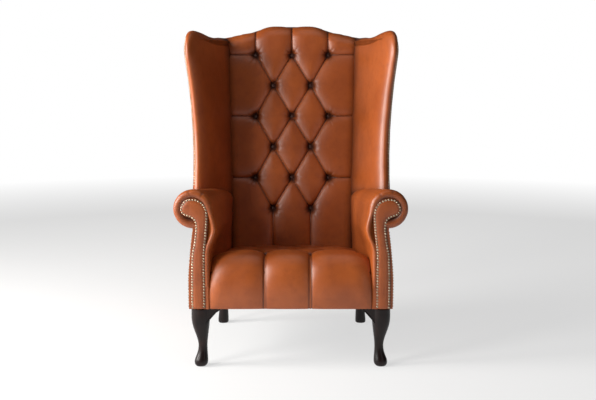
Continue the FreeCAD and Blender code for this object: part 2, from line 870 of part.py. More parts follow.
# Arm pads: the inside arm and the roll, lofted from front to back.
edge = size("roll_edge")
facing_back = size("facing_thickness")
BELLY_SHARE = 0.42
QUARTER_STEPS = 5


def arm_section(y, round_off):
    """The inside arm and its roll at a depth, drawn in by the rounding of the front."""
    radius = size(roll_radius(repr(y))) - round_off
    centre_x = size(roll_centre_x(repr(y)))
    centre_z = size(roll_centre_z(repr(y)))
    bottom = centre_z - radius
    foot = size(arm_foot(repr(y)))
    inner_back = foot + size("arm_pad")
    fade = max(0.0, 1 - (y - facing_back) / size(ROLL_RUN))
    belly = centre_x - radius - size("arm_belly") * fade
    low = size(SLAT_LOW)
    reach = (centre_z - low) * BELLY_SHARE
    diagonal = radius * math.sqrt(0.5)
    return in_space("front", [
        (inner_back, low),
        (foot + round_off, low),
        (foot + round_off, centre_z - 2 * reach + round_off),
        (centre_x - radius, centre_z, belly, centre_z - reach),
        (centre_x, centre_z + radius, centre_x - diagonal, centre_z + diagonal),
        (centre_x + radius, centre_z, centre_x + diagonal, centre_z + diagonal),
        (centre_x, bottom, centre_x + diagonal, centre_z - diagonal),
        (inner_back, bottom),
    ], QUARTER_STEPS, y)


ROUNDING_STEPS = 4
sections = []
for i in range(ROUNDING_STEPS):
    turn = math.radians(90 * i / (ROUNDING_STEPS - 1))
    sections.append((edge * (1 - math.cos(turn)), edge * (1 - math.sin(turn))))
arm_end = slope_point(size("arm_top"), size("back_pad"))
sections.append((arm_end, 0.0))
arm_form = loft([arm_section(y, round_off) for y, round_off in sections])
strip = Part.makeBox(
    size(STUMP_INNER) - size("strip_inner") + facing_back,
    size("front_padding") - web,
    size(SLAT_LOW) - size("leg_height") + edge,
    Vector(size("strip_inner"), web, size("leg_height")),
)
arm_form = arm_form.fuse(strip)
LEAN = math.tan(math.radians(size("back_rake")))


def behind_rake(behind):
    """All that lies behind a plane parallel to the back's rake."""
    return half_space(Vector(0, slope_point(0.0, behind), 0), Vector(0, 1, -LEAN))


arm_form = arm_form.cut(behind_rake(size("back_pad")))


# Wings: a wedge between an inner plane that splays and the outside, cut to the wing's profile.
splay = math.tan(math.radians(size("wing_splay")))
waist_y = size("wing_waist_y")
waist_z = size("wing_waist_z")
pad = size("back_pad")


def half_width(z):
    """Half the width of the inside back at a height."""
    return size("back_half") + size("back_flare") * (z - size("back_line"))


def wing_inner_x(y, z):
    return half_width(z) + (slope_point(z) - y) * splay


edge_x = wing_inner_x(waist_y, waist_z) + size("wing_edge") * math.sqrt(1 + splay**2)
outer_slope = (edge_x - size(post_x("wing_waist_z", "post_width"))) / (slope_point(waist_z, pad) - waist_y)


def wing_outer_x(y, z):
    return size(post_x(repr(z), "post_width")) + (slope_point(z, pad) - y) * outer_slope


def upright(plan, low, high):
    """A solid between the same plan, worked out at two heights."""
    return loft([[Vector(x, y, z) for x, y in plan(z)] for z in (low, high)])


def on_circle(centre, radius, towards):
    return centre + (towards - centre).normalize() * radius


def wing_profile(inset):
    """The wing from the side: a hollow front edge, a round corner and the top."""
    low = Vector(size("wing_low_y"), size("wing_low_z"), 0)
    waist = Vector(waist_y, waist_z, 0)
    high = Vector(size("wing_high_y"), size("wing_high_z"), 0)
    hollow = Part.Circle(low, waist, high)
    corner = size("wing_corner")
    top = size("wing_top")
    reach = hollow.Radius + corner
    rise = top - corner - hollow.Center.y
    centre = Vector(hollow.Center.x + math.sqrt(reach**2 - rise**2), top - corner, 0)
    radius = hollow.Radius + inset
    base_z = size("wing_low")
    base = Vector(hollow.Center.x + math.sqrt(radius**2 - (base_z - hollow.Center.y) ** 2), base_z, 0)
    join = on_circle(hollow.Center, radius, centre)
    via = on_circle(hollow.Center, radius, (base + join) / 2)
    peak = Vector(centre.x, top - inset, 0)
    over = on_circle(centre, corner - inset, (join + peak) / 2)
    root = Vector(slope_point(size("corner_line")), size("corner_line") - inset, 0)
    far = peak + (root - peak) * 2
    return [
        (base.x, base.y),
        (join.x, join.y, via.x, via.y),
        (peak.x, peak.y, over.x, over.y),
        (far.x, far.y),
        (far.x, base.y),
    ]


WING_STEPS = 7


def side_cut(outline):
    return Part.Face(wire_of("side", outline, WING_STEPS)).extrude(Vector(BEYOND, 0, 0))


def wing_sheet(share, inset):
    """The wing's outline on one of the planes that lie between its two faces."""
    corners = []
    for point in chords(wing_profile(inset), WING_STEPS):
        y, z = point.x, point.y
        inner = wing_inner_x(y, z)
        corners.append(Vector(inner + (wing_outer_x(y, z) - inner) * share, y, z))
    return corners


wing_base = size("wing_low")
wing_edge = size("wing_edge")
wing_round = min(size("wing_round"), wing_edge / 2 - facing_back / 2)
ROUND_STEPS = 3
inner_sheets = []
outer_sheets = []
for i in range(ROUND_STEPS + 1):
    turn = math.radians(90 * i / ROUND_STEPS)
    share = wing_round * (1 - math.cos(turn)) / wing_edge
    inset = wing_round * (1 - math.sin(turn))
    inner_sheets.append(wing_sheet(share, inset))
    outer_sheets.insert(0, wing_sheet(1 - share, inset))
wing_form = loft(inner_sheets + outer_sheets).cut(behind_rake(pad))

post_y = size("wing_post_y")
post_far_y = post_y + size("wing_post_width")
cover = size("wing_cover")
board = size("wing_board")


def wing_post_plan(z):
    corners = [(y, off) for y, off in ((post_y, cover), (post_y, cover + board),
                                       (post_far_y, cover + board), (post_far_y, cover))]
    return [(wing_inner_x(y, z) + off, y) for y, off in corners]


wing_rail_top = size("wing_rail_top")
rail_top_z = size(f"({arm_rail_low(STUMP_BACK)} + arm_rail_height)")
below_rail = half_space(
    Vector(0, size(STUMP_BACK), rail_top_z),
    Vector(0, size(f"{arm_rail_low(FAR)} - {arm_rail_low(STUMP_BACK)}"), size(f"{STUMP_BACK} - {FAR}")),
)
wing_post = upright(wing_post_plan, wing_base, wing_rail_top).cut(below_rail)
feature("wing_post_right", wing_post)


def wing_rail_section(y, inner):
    low = wing_rail_top - size("wing_rail_height")
    corners = []
    for z, offset in ((low, 0), (low, board), (wing_rail_top, board), (wing_rail_top, 0)):
        corners.append(Vector(inner(z) + offset, y, z))
    return corners


rail_end = slope_point(wing_rail_top, size(FRAME_BACK))
near_rail = wing_rail_section(post_far_y, lambda z: wing_inner_x(post_far_y, z) + cover)
far_rail = wing_rail_section(rail_end, lambda z: size(post_x(repr(z), "(post_width - wing_board) / 2")))
wing_rail = loft([near_rail, far_rail]).cut(behind_rake(pad))
feature("wing_rail_right", wing_rail)

arm_frame = [shape_of(f"{name}_right") for name in
             ("arm_stump", "arm_facing", "arm_rail", "arm_slat", "side_rail", "back_post", "wing_post")]
arm_frame.append(shape_of("front_rail"))
feature("arm_pad_right", arm_form.cut(arm_frame))

# Outside panels: leather over a thin lining, tacked to the outside of the frame.
fall = size(f"({roll_centre_z(FAR)} - {roll_centre_z('0')}) / {FAR}")
roll_line = Vector(0, -fall, 1)
roll_front = Vector(0, 0, size(roll_centre_z("0")))
over_roll = half_space(roll_front, roll_line)
under_roll = half_space(roll_front, roll_line * -1)
thin = size("back_cover")


def post_plan(z):
    """The plan of a back post at a height."""
    inner = size(post_x(repr(z)))
    outer = size(post_x(repr(z), "post_width"))
    front = slope_point(z, pad)
    back = slope_point(z, size(FRAME_BACK))
    return [(inner, front), (outer, front), (outer, back), (inner, back)]


shoulder = upright(post_plan, size("post_top"), size("crest_height"))
shoulder = shoulder.common(side_cut(wing_profile(wing_round / 2)))
wing_form = wing_form.fuse(shoulder)
wing_pad = wing_form.cut([under_roll, arm_form, wing_post, wing_rail, shape_of("arm_rail_right")])
feature("wing_pad_right", wing_pad)


def outside_wing_plan(z):
    front = size("wing_low_y") - wing_edge
    knee = slope_point(z, pad)
    back = slope_point(z, size(FRAME_BACK))
    inner = size(post_x(repr(z), "post_width"))
    slant = wing_outer_x(front, z)
    return [(slant, front), (slant + thin, front), (inner + thin, knee),
            (inner + thin, back), (inner, back), (inner, knee)]


panel = upright(outside_wing_plan, wing_base, size("crest_height"))
panel = panel.common(side_cut(wing_profile(size("wing_inset"))))
panel = panel.cut([under_roll, arm_form])
feature("outside_wing_right", panel)


FLANK_STEPS = 4


def flank_section(y, inner_foot, inner_neck, thickness):
    """The outside arm at a depth: upright below, then drawn in under the roll."""
    low = size("leg_height")
    straight = size("face_straight")
    neck = size("neck_low")
    top = size("nose_z")
    middle = (straight + neck) / 2
    bulge = inner_neck + (inner_foot - inner_neck) * size("face_bulge")
    lean = size("post_flare")
    rise = (top - neck) * lean
    return in_space("front", [
        (inner_foot, low),
        (inner_foot + thickness, low),
        (inner_foot + thickness, straight),
        (inner_neck + thickness, neck, bulge + thickness, middle),
        (inner_neck + thickness + rise, top),
        (inner_neck + rise, top),
        (inner_neck, neck),
        (inner_foot, straight, bulge, middle),
    ], FLANK_STEPS, y)


thick = size("flank_cover")
thick_back = size("flank_back_cover")
foot_x = size("flank_outer") - thick
neck_x = size("flank_neck") - thick
post_low = size(post_x("leg_height", "post_width"))
post_neck = size(post_x("neck_low", "post_width"))
frame_y = slope_point(size("leg_height"), pad)
far_y = slope_point(size("nose_z"), size(FRAME_BACK))
flank = loft([
    flank_section(web, foot_x, neck_x, thick),
    flank_section(size(STUMP_BACK), foot_x, neck_x, thick),
    flank_section(frame_y, post_low, post_neck, thick_back),
    flank_section(far_y, post_low, post_neck, thick_back),
])
flank_frame = [shape_of(f"{name}_right") for name in ("arm_stump", "arm_facing", "arm_rail", "side_rail")]
flank_frame += [over_roll, behind_rake(size(FRAME_BACK)), arm_form, shape_of("back_post_right")]
flank = flank.cut(flank_frame)
feature("outside_arm_right", flank)

# Deep buttoning. A tufted layer is a ruled loft through one section per level. Each
# section has five pillows between four pleats, which wander from button to button.
MEETING = 0.42
LEAST_RISE = 0.4
PILLOW_STEPS = 4
STRAIGHT_SHARE = 0.7


class Level:
    """One section: where it lies, how its pleats sit and how thick the layer is."""

    def __init__(self, origin, outward, half, edge_sink, pleats, thickness, crowns=(0.0,) * 5):
        self.origin = origin
        self.outward = outward
        self.half = half
        self.edge_sink = edge_sink
        self.pleats = pleats
        self.thickness = thickness
        self.crowns = crowns

    def point(self, x, sink):
        return Vector(x, *self.origin) - Vector(0, *self.outward) * sink

    def outline(self):
        marks = [(-self.half, self.edge_sink), *self.pleats, (self.half, self.edge_sink)]
        points = [self.point(*marks[0])]
        for (x0, sink0), (x1, sink1), crown in zip(marks, marks[1:], self.crowns):
            chord = (sink0 + sink1) / 2
            rise = max(LEAST_RISE, min(chord - crown, MEETING * (x1 - x0)))
            top = self.point((x0 + x1) / 2, chord - rise)
            pillow = Part.Arc(points[-1], top, self.point(x1, sink1))
            span = pillow.LastParameter - pillow.FirstParameter
            for k in range(1, PILLOW_STEPS + 1):
                points.append(pillow.value(pillow.FirstParameter + span * k / PILLOW_STEPS))
        points.append(self.point(self.half, self.thickness))
        points.append(self.point(-self.half, self.thickness))
        return points


def tufted(levels):
    return loft([level.outline() for level in levels])


def pleat_places(wide, close, share, shift=0.0):
    """The four pleats between a row of three buttons (share 0) and one of two (share 1)."""
    gap = size("pleat_gap")
    outer = wide - (wide - close - gap) * share
    inner = gap + (close - 2 * gap) * share
    return [shift + x for x in (-outer, -inner, inner, outer)]


def pleat_depth(share, pleat, button):
    """A pleat is deepest where it meets a button at either end."""
    return pleat + (button - pleat) * abs(2 * share - 1) ** 3


# Inside back: foam on the webbing, and the buttoned layer over it.
rows = 6
SHARES = (0.0, 0.2, 0.5, 0.8)
gap_wide = size("wide_gap")
gap_close = size("close_gap")
sunk = size("button_sink")
pleat = size("pleat_sink")
edge_sunk = size("edge_sink")
tuft = size("back_tuft")
outward = (-1.0, 0.0)


def pad_side(z):
    return half_width(z) + edge_sunk


def back_level(z, share, straight=False, pinch=0.0):
    places = pleat_places(gap_wide, gap_close, share)
    sink = pleat * STRAIGHT_SHARE if straight else pleat_depth(share, pleat, sunk)
    crowns = (pinch, 0.0, 0.0, 0.0, pinch)
    marks = [(x, sink) for x in places]
    return Level((slope_point(z), z), outward, pad_side(z), edge_sunk, marks, tuft, crowns)


row_pitch = size("row_top - row_low") / (rows - 1)
row_z = [size("row_low") + row_pitch * i for i in range(rows)]
back_levels = [back_level(size("back_low"), 1.0, True), back_level(row_z[0] - 4 * sunk, 1.0, True)]
for i, z in enumerate(row_z[:-1]):
    for step in SHARES:
        share = 1 - step if i % 2 == 0 else step
        pinch = pleat * (1 - share) ** 4
        back_levels.append(back_level(z + step * row_pitch, share, pinch=pinch))
back_levels.append(back_level(row_z[-1], 0.0, pinch=pleat))
back_levels.append(back_level(row_z[-1] + 1.5 * sunk, 0.0, True))
back_levels.append(back_level(size("crest_height") + edge_sunk, 0.0, True))
layer = tufted(back_levels)

foam_top = size("foam_top")
foam_low = size("back_low")


def band_plan(front, behind, half):
    """The plan of a slab across the inside back, between two distances behind its face."""
    def plan(z):
        side = half(z)
        return [(-side, slope_point(z, front)), (side, slope_point(z, front)),
                (side, slope_point(z, behind)), (-side, slope_point(z, behind))]
    return plan


wing_forms = [wing_form, mirror_image(wing_form)]
arm_forms = [arm_form, mirror_image(arm_form)]
posts = [shape_of("back_post_right"), mirror_image(shape_of("back_post_right"))]
foam = upright(band_plan(tuft, pad - web, pad_side), foam_low, foam_top)
foam = foam.cut(wing_forms + arm_forms)
feature("back_foam", foam)

cap_plan = band_plan(tuft / 2, size(FRAME_BACK), lambda z: size(post_x(repr(z))))
cap = upright(cap_plan, foam_top, size("crest_height") + edge_sunk)
crest_round = min(size("crest_round"), size(FRAME_BACK) / 2)
CREST_STEPS = 3
pad_low = size("back_low")


def crest_section(x, top):
    """The back pad's outline from the side at one place along the crest."""
    points = [Vector(x, slope_point(pad_low), pad_low)]
    for k in range(ROUND_STEPS + 1):
        turn = math.radians(90 * k / ROUND_STEPS)
        z = top - crest_round * (1 - math.sin(turn))
        points.append(Vector(x, slope_point(z, crest_round * (1 - math.cos(turn))), z))
    points.append(Vector(x, slope_point(top, size(FRAME_BACK)), top))
    points.append(Vector(x, slope_point(pad_low, size(FRAME_BACK)), pad_low))
    return points


crest_line = chords(measured(crest_outline("0", "0", "back_low")), CREST_STEPS)[1:-1]
envelope = loft([crest_section(point.x, point.y) for point in crest_line])

BUTTON_SIDES = 12
BUTTON_RINGS = ((1.0, 0.0), (1.0, 0.45), (0.55, 1.0))


def button(node, spots, direction):
    """Domed buttons, each seated at the bottom of its pit and facing one way."""
    rings = []
    for reach, rise in BUTTON_RINGS:
        ring = []
        for k in range(BUTTON_SIDES):
            turn = 2 * math.pi * k / BUTTON_SIDES
            ring.append(Vector(math.cos(turn), math.sin(turn), 0) * reach * size("button_radius"))
        rings.append([point + Vector(0, 0, rise * size("button_height")) for point in ring])
    dome = loft(rings)
    solids = []
    for spot in spots:
        seated = dome.copy()
        seated.Placement = Placement(spot, Rotation(Vector(0, 0, 1), direction))
        solids.append(seated)
    return feature(node, Part.makeCompound(solids))


def row_places(i, wide, close, shift=0.0):
    return [shift - close, shift + close] if i % 2 == 0 else [shift - wide, shift, shift + wide]


spots = []
for i, z in enumerate(row_z):
    for x in row_places(i, gap_wide, gap_close):
        spots.append(Vector(x, slope_point(z, sunk + 1), z))
button("back_buttons", spots, Vector(0, -1, LEAN))

cover_back = layer.fuse(cap).common(envelope)
carried = [shape_of(node) for node in ("back_foam", "crest_rail", "back_webbing", "back_buttons")]
cover_back = cover_back.cut(carried + wing_forms + arm_forms + posts)
feature("inside_back", cover_back)

# Seat: foam between the inside arms, and a buttoned layer that rolls over the front.
FOAM_BREAK = "(seat_crest_y + (seat_line - seat_tuft - foam_line) / tan(seat_pitch))"
seat_low = f"({RAIL_TOP} + 2 * web_thickness)"
seat_pitch = math.tan(math.radians(size("seat_pitch")))
crest_y = size("seat_crest_y")
seat_line = size("seat_line")
foam_line = size("foam_line")
front_pad = size("front_padding")
seat_tuft = size("seat_tuft")
seat_floor = size(seat_low)


def seat_top(y):
    return seat_line - (y - crest_y) * seat_pitch


def foam_height(y):
    return min(foam_line, seat_top(y) - seat_tuft)


foam_knee = size(FOAM_BREAK)
foam_far = slope_point(foam_height(slope_point(foam_line)))
side_view = [(front_pad, seat_floor), (foam_far, seat_floor), (foam_far, foam_height(foam_far)),
             (foam_knee, foam_line), (front_pad, foam_line)]
seat_block = Part.Face(wire_of("side", side_view)).extrude(Vector(2 * BEYOND, 0, 0))
seat_block.translate(Vector(-BEYOND, 0, 0))
width_front = size(arm_foot(repr(front_pad)))
width_back = size(arm_foot(repr(foam_far)))
plan_view = [(-width_front, front_pad), (width_front, front_pad),
             (width_back, foam_far), (-width_back, foam_far)]
seat_plan = Part.Face(wire_of("plan", plan_view)).extrude(Vector(0, 0, BEYOND))
seat_foam = seat_block.common(seat_plan).cut(arm_forms + [shape_of("inside_back")])
feature("seat_foam", seat_foam)

left = size("seat_button_left")
right = size("seat_button_right")
seat_shift = (right - left) / 2
seat_close = (right + left) / 2
seat_wide = 2 * seat_close
seat_sink = size("seat_pleat")
swell = size("seat_swell")
seat_round = size("seat_round")
corner_sink = size("seat_corner")
seat_half = size("strip_inner")
leg_height = size("leg_height")
seat_levels = []


def seat_marks(share, sink):
    return [(x, sink) for x in pleat_places(seat_wide, seat_close, share, seat_shift)]


FRONT_STEPS = 3
ROLL_STEPS = 3
PLEAT_START = 0.3
PLEAT_AT_ROLL = 0.7
edge_draw = swell / 2
for i in range(FRONT_STEPS):
    rise = i / FRONT_STEPS
    z = leg_height + (seat_line - seat_round - leg_height) * rise
    y = -swell * (1 - (1 - rise) ** 2)
    marks = seat_marks(1.0, seat_sink * (PLEAT_START + (PLEAT_AT_ROLL - PLEAT_START) * rise))
    seat_levels.append(Level((y, z), (-1.0, 0.0), seat_half, edge_draw, marks, front_pad - y))
for i in range(ROLL_STEPS + 1):
    share = i / ROLL_STEPS
    turn = math.radians(90 * share)
    reach = crest_y + swell
    y = crest_y - reach * math.cos(turn)
    z = seat_line - seat_round + seat_round * math.sin(turn)
    normal = Vector(-math.cos(turn) / reach, math.sin(turn) / seat_round, 0).normalize()
    deep = front_pad + swell + (seat_line - foam_line - front_pad - swell) * share
    drop = edge_draw + (corner_sink - edge_draw) * share
    marks = seat_marks(1.0, seat_sink * (PLEAT_AT_ROLL + (1 - PLEAT_AT_ROLL) * share))
    seat_levels.append(Level((y, z), (normal.x, normal.y), seat_half, drop, marks, deep))
SEAT_ROWS = 4
first_row = size("seat_row_y")
row_step = (size("seat_row_last") - first_row) / (SEAT_ROWS - 1)


def seat_level(y, share, straight=False):
    sink = seat_sink if straight else pleat_depth(share, seat_sink, sunk)
    depth = seat_top(y) - foam_height(y)
    side = min(corner_sink, depth * STRAIGHT_SHARE)
    half = min(seat_half, size(arm_foot(repr(y))) + edge_sunk)
    return Level((y, seat_top(y)), (0.0, 1.0), half, side, seat_marks(share, sink), depth)


for i in range(SEAT_ROWS - 1):
    for step in SHARES:
        share = 1 - step if i % 2 == 0 else step
        seat_levels.append(seat_level(first_row + (i + step) * row_step, share))
seat_levels.append(seat_level(first_row + (SEAT_ROWS - 1) * row_step, 0.0))
seat_end = slope_point(seat_line)
seat_levels.append(seat_level(seat_end, 0.0, True))

seat_spots = []
for i in range(SEAT_ROWS):
    y = first_row + i * row_step
    for x in row_places(i, seat_wide, seat_close, seat_shift):
        seat_spots.append(Vector(x, y, seat_top(y) - sunk - 1))
button("seat_buttons", seat_spots, Vector(0, seat_pitch, 1))
seat_cover = tufted(seat_levels)
seat_cover = seat_cover.cut(
    arm_forms + [seat_foam, shape_of("inside_back"), shape_of("seat_buttons"), shape_of("front_rail")])
feature("seat_cover", seat_cover)

# Cabriole front legs, drawn as a row of rounded squares that swell out at the knee,
# draw in to the ankle and end in a pad foot, along the diagonal of the corner.
KNEE_LOW = "(leg_height - knee_length)"


def between(low, high, share):
    return f"({low} + {share} * ({high} - {low}))"


def swing(share):
    """A smooth ease from 0 to 1, flat at both ends."""
    return f"(0.5 - 0.5 * cos(180 * {share}))"


KNEE_STEPS = 5
FOOT_STEPS = 5
SOLE_STEPS = 3
KNEE_CORNER = 0.3
FOOT_CORNER = 0.6
FRONT_LEG = [("leg_height", "knee_half", "0", KNEE_CORNER)]
for i in range(KNEE_STEPS):
    share = i / KNEE_STEPS
    FRONT_LEG.append((
        between(KNEE_LOW, "ankle_z", share),
        between("ankle_half", "knee_half", f"{1 - share}^2"),
        f"(foot_out * sin(180 * {share}) - ankle_back * {swing(share)})",
        KNEE_CORNER + (FOOT_CORNER - KNEE_CORNER) * share,
    ))
for i in range(FOOT_STEPS):
    share = i / FOOT_STEPS
    FRONT_LEG.append((
        between("ankle_z", "foot_z", share),
        between("ankle_half", "foot_half", swing(share)),
        between("-ankle_back", "foot_out", swing(share)),
        FOOT_CORNER,
    ))
for i in range(SOLE_STEPS + 1):
    share = 1 - i / SOLE_STEPS
    FRONT_LEG.append((
        f"({share} * foot_z)",
        between("sole_half", "foot_half", f"sqrt({share})"),
        f"({share} * foot_out)",
        FOOT_CORNER,
    ))
REAR_STEPS = 4
REAR_WAIST = 0.75
REAR_LEG = []
for i in range(REAR_STEPS):
    share = i / REAR_STEPS
    REAR_LEG.append((
        between("leg_height", "2 * foot_z", share),
        between("rear_leg_half", "rear_leg_waist", f"sin(180 * {share} * {REAR_WAIST})"),
        f"(rear_leg_sweep * {share}^2)",
        KNEE_CORNER + (FOOT_CORNER - KNEE_CORNER) * share,
    ))
REAR_FOOT = ((2.0, 0.95), (1.2, 1.0), (0.5, 0.97), (0.0, 0.75))
for height, half in REAR_FOOT:
    REAR_LEG.append((f"{height} * foot_z", f"{half} * rear_foot_half", "rear_leg_sweep", FOOT_CORNER))


def rounded_square(x, y, half, share):
    """A square about a centre, with its corners rounded by a share of its half width."""
    soft = f"({share} * {half})"
    cut = f"({soft} * (1 - cos(45)))"
    left, right = f"({x} - {half})", f"({x} + {half})"
    near, far = f"({y} - {half})", f"({y} + {half})"
    return [
        (f"({right} - {soft})", near),
        (f"({right} - {cut})", f"({near} + {cut})"),
        (right, f"({near} + {soft})"),
        (right, f"({far} - {soft})"),
        (f"({right} - {cut})", f"({far} - {cut})"),
        (f"({right} - {soft})", far),
        (f"({left} + {soft})", far),
        (f"({left} + {cut})", f"({far} - {cut})"),
        (left, f"({far} - {soft})"),
        (left, f"({near} + {soft})"),
        (f"({left} + {cut})", f"({near} + {cut})"),
        (f"({left} + {soft})", near),
    ]


def leg(node, stations, x, y, out_x, out_y, fixing):
    """A leg shaped through its stations, with the hole for its bolt."""
    rings = []
    for height, half, outward, share in stations:
        middle_x = f"({x} + {out_x} * ({outward}))"
        middle_y = f"({y} + {out_y} * ({outward}))"
        outline = measured(rounded_square(middle_x, middle_y, half, share))
        rings.append([Vector(across, along, size(height)) for across, along in outline])
    hole = fixing.Shape.copy()
    hole.translate(Vector(0, -size("facing_y"), 0))
    return feature(node, loft(rings).cut(hole))


leg("front_leg_right", FRONT_LEG, "leg_x", "leg_inset", "1", "-1", front_bolt)
leg("rear_leg_right", REAR_LEG, REAR_LEG_X, REAR_LEG_Y, "rear_leg_splay", "1", rear_bolt)

LEG_SIDE = "(leg_x - knee_half)"
LEG_BACK = "(leg_inset + knee_half)"


def ear(base, direction):
    """The outline of a knee block, from the leg's side out to its tip under the rail."""
    tip = f"({base} + {direction} * ear_reach)"
    lip = "(leg_height - ear_drop / 3)"
    sag_u = f"({base} + {direction} * ear_hollow * ear_reach)"
    sag_v = "(leg_height - (ear_hollow + 1) / 2 * ear_drop)"
    foot = (base, "(leg_height - ear_drop)", sag_u, sag_v)
    return [(base, "leg_height"), (tip, "leg_height"), (tip, lip), foot]


SIDE_EAR = "(leg_x + knee_half - web_thickness - ear_depth)"
group("knee_blocks_right", [
    prism("front_ear", "front", ear(LEG_SIDE, -1), "web_thickness", "ear_depth"),
    prism("side_ear", "side", ear(LEG_BACK, 1), SIDE_EAR, "ear_depth"),
])

under = [shape_of(node) for node in ("front_leg_right", "rear_leg_right", "knee_blocks_right", "leg_bolts")]
under += [mirror_image(shape) for shape in under]
inset = size("cloth_inset")
cloth_front = size(STUMP_OUTER) - inset
cloth_back = post_low - inset
cloth_far = slope_point(leg_height, size(FRAME_BACK)) - inset
cloth_plan = [(-cloth_front, front_pad + inset), (cloth_front, front_pad + inset),
              (cloth_back, cloth_far), (-cloth_back, cloth_far)]
cloth = Part.Face(wire_of("plan", cloth_plan)).extrude(Vector(0, 0, size("cloth_thickness")))
cloth.translate(Vector(0, 0, leg_height - size("cloth_thickness")))
feature("bottom_cloth", cloth.cut(under))

for name in ("side_rail", "back_post", "arm_stump", "arm_facing", "arm_rail", "arm_slat", "wing_post",
             "wing_rail", "arm_pad", "wing_pad", "outside_wing", "outside_arm", "front_leg", "rear_leg",
             "knee_blocks"):
    pair(name)
doc.recompute()

faults = [obj.Name for obj in doc.Objects if {"Invalid", "Error"} & set(obj.State)]
for node, obj in parts.items():
    if obj.Shape.isNull() or not obj.Shape.isValid() or not obj.Shape.Solids:
        faults.append(node)
if faults:
    raise RuntimeError("these objects failed: " + ", ".join(faults))

os.makedirs("parts", exist_ok=True)
for node, obj in parts.items():
    obj.Shape.exportStep(f"parts/{node}.step")
print(len(parts), "sub-parts")
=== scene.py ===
import math

import bpy
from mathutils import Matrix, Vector


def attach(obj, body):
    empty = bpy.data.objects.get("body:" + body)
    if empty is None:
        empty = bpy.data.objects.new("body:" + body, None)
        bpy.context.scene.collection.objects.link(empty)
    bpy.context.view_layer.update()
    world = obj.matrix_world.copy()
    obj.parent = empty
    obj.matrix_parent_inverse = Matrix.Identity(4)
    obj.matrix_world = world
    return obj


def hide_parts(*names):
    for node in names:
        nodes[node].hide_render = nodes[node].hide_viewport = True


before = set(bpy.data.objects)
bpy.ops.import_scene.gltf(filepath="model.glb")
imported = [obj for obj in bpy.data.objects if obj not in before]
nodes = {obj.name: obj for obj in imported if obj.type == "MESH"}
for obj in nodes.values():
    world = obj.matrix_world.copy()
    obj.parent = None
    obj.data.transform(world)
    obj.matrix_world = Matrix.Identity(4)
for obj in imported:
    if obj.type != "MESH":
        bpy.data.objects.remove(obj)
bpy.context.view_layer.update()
SIDES = {"left": -1, "right": 1}

# Studio: a pale floor that turns white in the distance, two large soft lights on the left,
# a weak one on the right and one overhead, and the photo's camera.
bpy.ops.object.select_all(action="DESELECT")
bpy.ops.mesh.primitive_plane_add(size=40.0, location=(0.0, 0.0, 0.0))
floor = bpy.context.object
floor.name = "floor"


def area_light(name, place, aim, width, height, power, colour=(1.0, 1.0, 1.0)):
    """A rectangular soft light that shines from its place towards its aim."""
    lamp = bpy.data.lights.new(name, "AREA")
    lamp.shape = "RECTANGLE"
    lamp.size = width
    lamp.size_y = height
    lamp.energy = power
    lamp.color = colour
    holder = bpy.data.objects.new(name, lamp)
    holder.location = place
    holder.rotation_euler = (Vector(aim) - Vector(place)).to_track_quat("-Z", "Y").to_euler()
    bpy.context.scene.collection.objects.link(holder)


area_light("key_light", (-2.5, -2.3, 1.8), (0.1, 0.0, 0.75), 0.9, 2.0, 84.0, (1.0, 0.98, 0.95))
area_light("side_light", (-3.0, -0.75, 1.5), (0.3, 0.0, 0.75), 1.1, 1.8, 150.0, (1.0, 0.98, 0.95))
area_light("fill_light", (2.6, -3.6, 1.5), (0.0, 0.0, 0.6), 1.4, 2.0, 9.0)
area_light("top_light", (0.2, -0.6, 3.4), (0.0, 0.0, 0.5), 2.4, 2.0, 12.0)

LOOKS_DOWN = 7.8
lens = bpy.data.cameras.new("camera")
lens.lens = 58.15
lens.sensor_width = 36.0
camera = bpy.data.objects.new("camera", lens)
camera.location = (0.026, -3.8241, 1.085)
camera.rotation_euler = (math.radians(90.0 - LOOKS_DOWN), 0.0, 0.0)
bpy.context.scene.collection.objects.link(camera)
bpy.context.scene.camera = camera
bpy.context.scene.view_settings.view_transform = "Standard"


class Value:
    """A shader socket that is used in sums; each sum adds its Math node."""

    def __init__(self, finish, socket):
        self.finish = finish
        self.socket = socket

    def sum(self, operation, first, second):
        """Adds the Math node of one sum."""
        return self.finish.node("ShaderNodeMath", {0: first, 1: second}, operation=operation)

    def __add__(self, other):
        return self.sum("ADD", self, other)

    def __radd__(self, other):
        return self.sum("ADD", other, self)

    def __sub__(self, other):
        return self.sum("SUBTRACT", self, other)

    def __rsub__(self, other):
        return self.sum("SUBTRACT", other, self)

    def __mul__(self, other):
        return self.sum("MULTIPLY", self, other)

    def __rmul__(self, other):
        return self.sum("MULTIPLY", other, self)

    def __pow__(self, other):
        return self.sum("POWER", self, other)


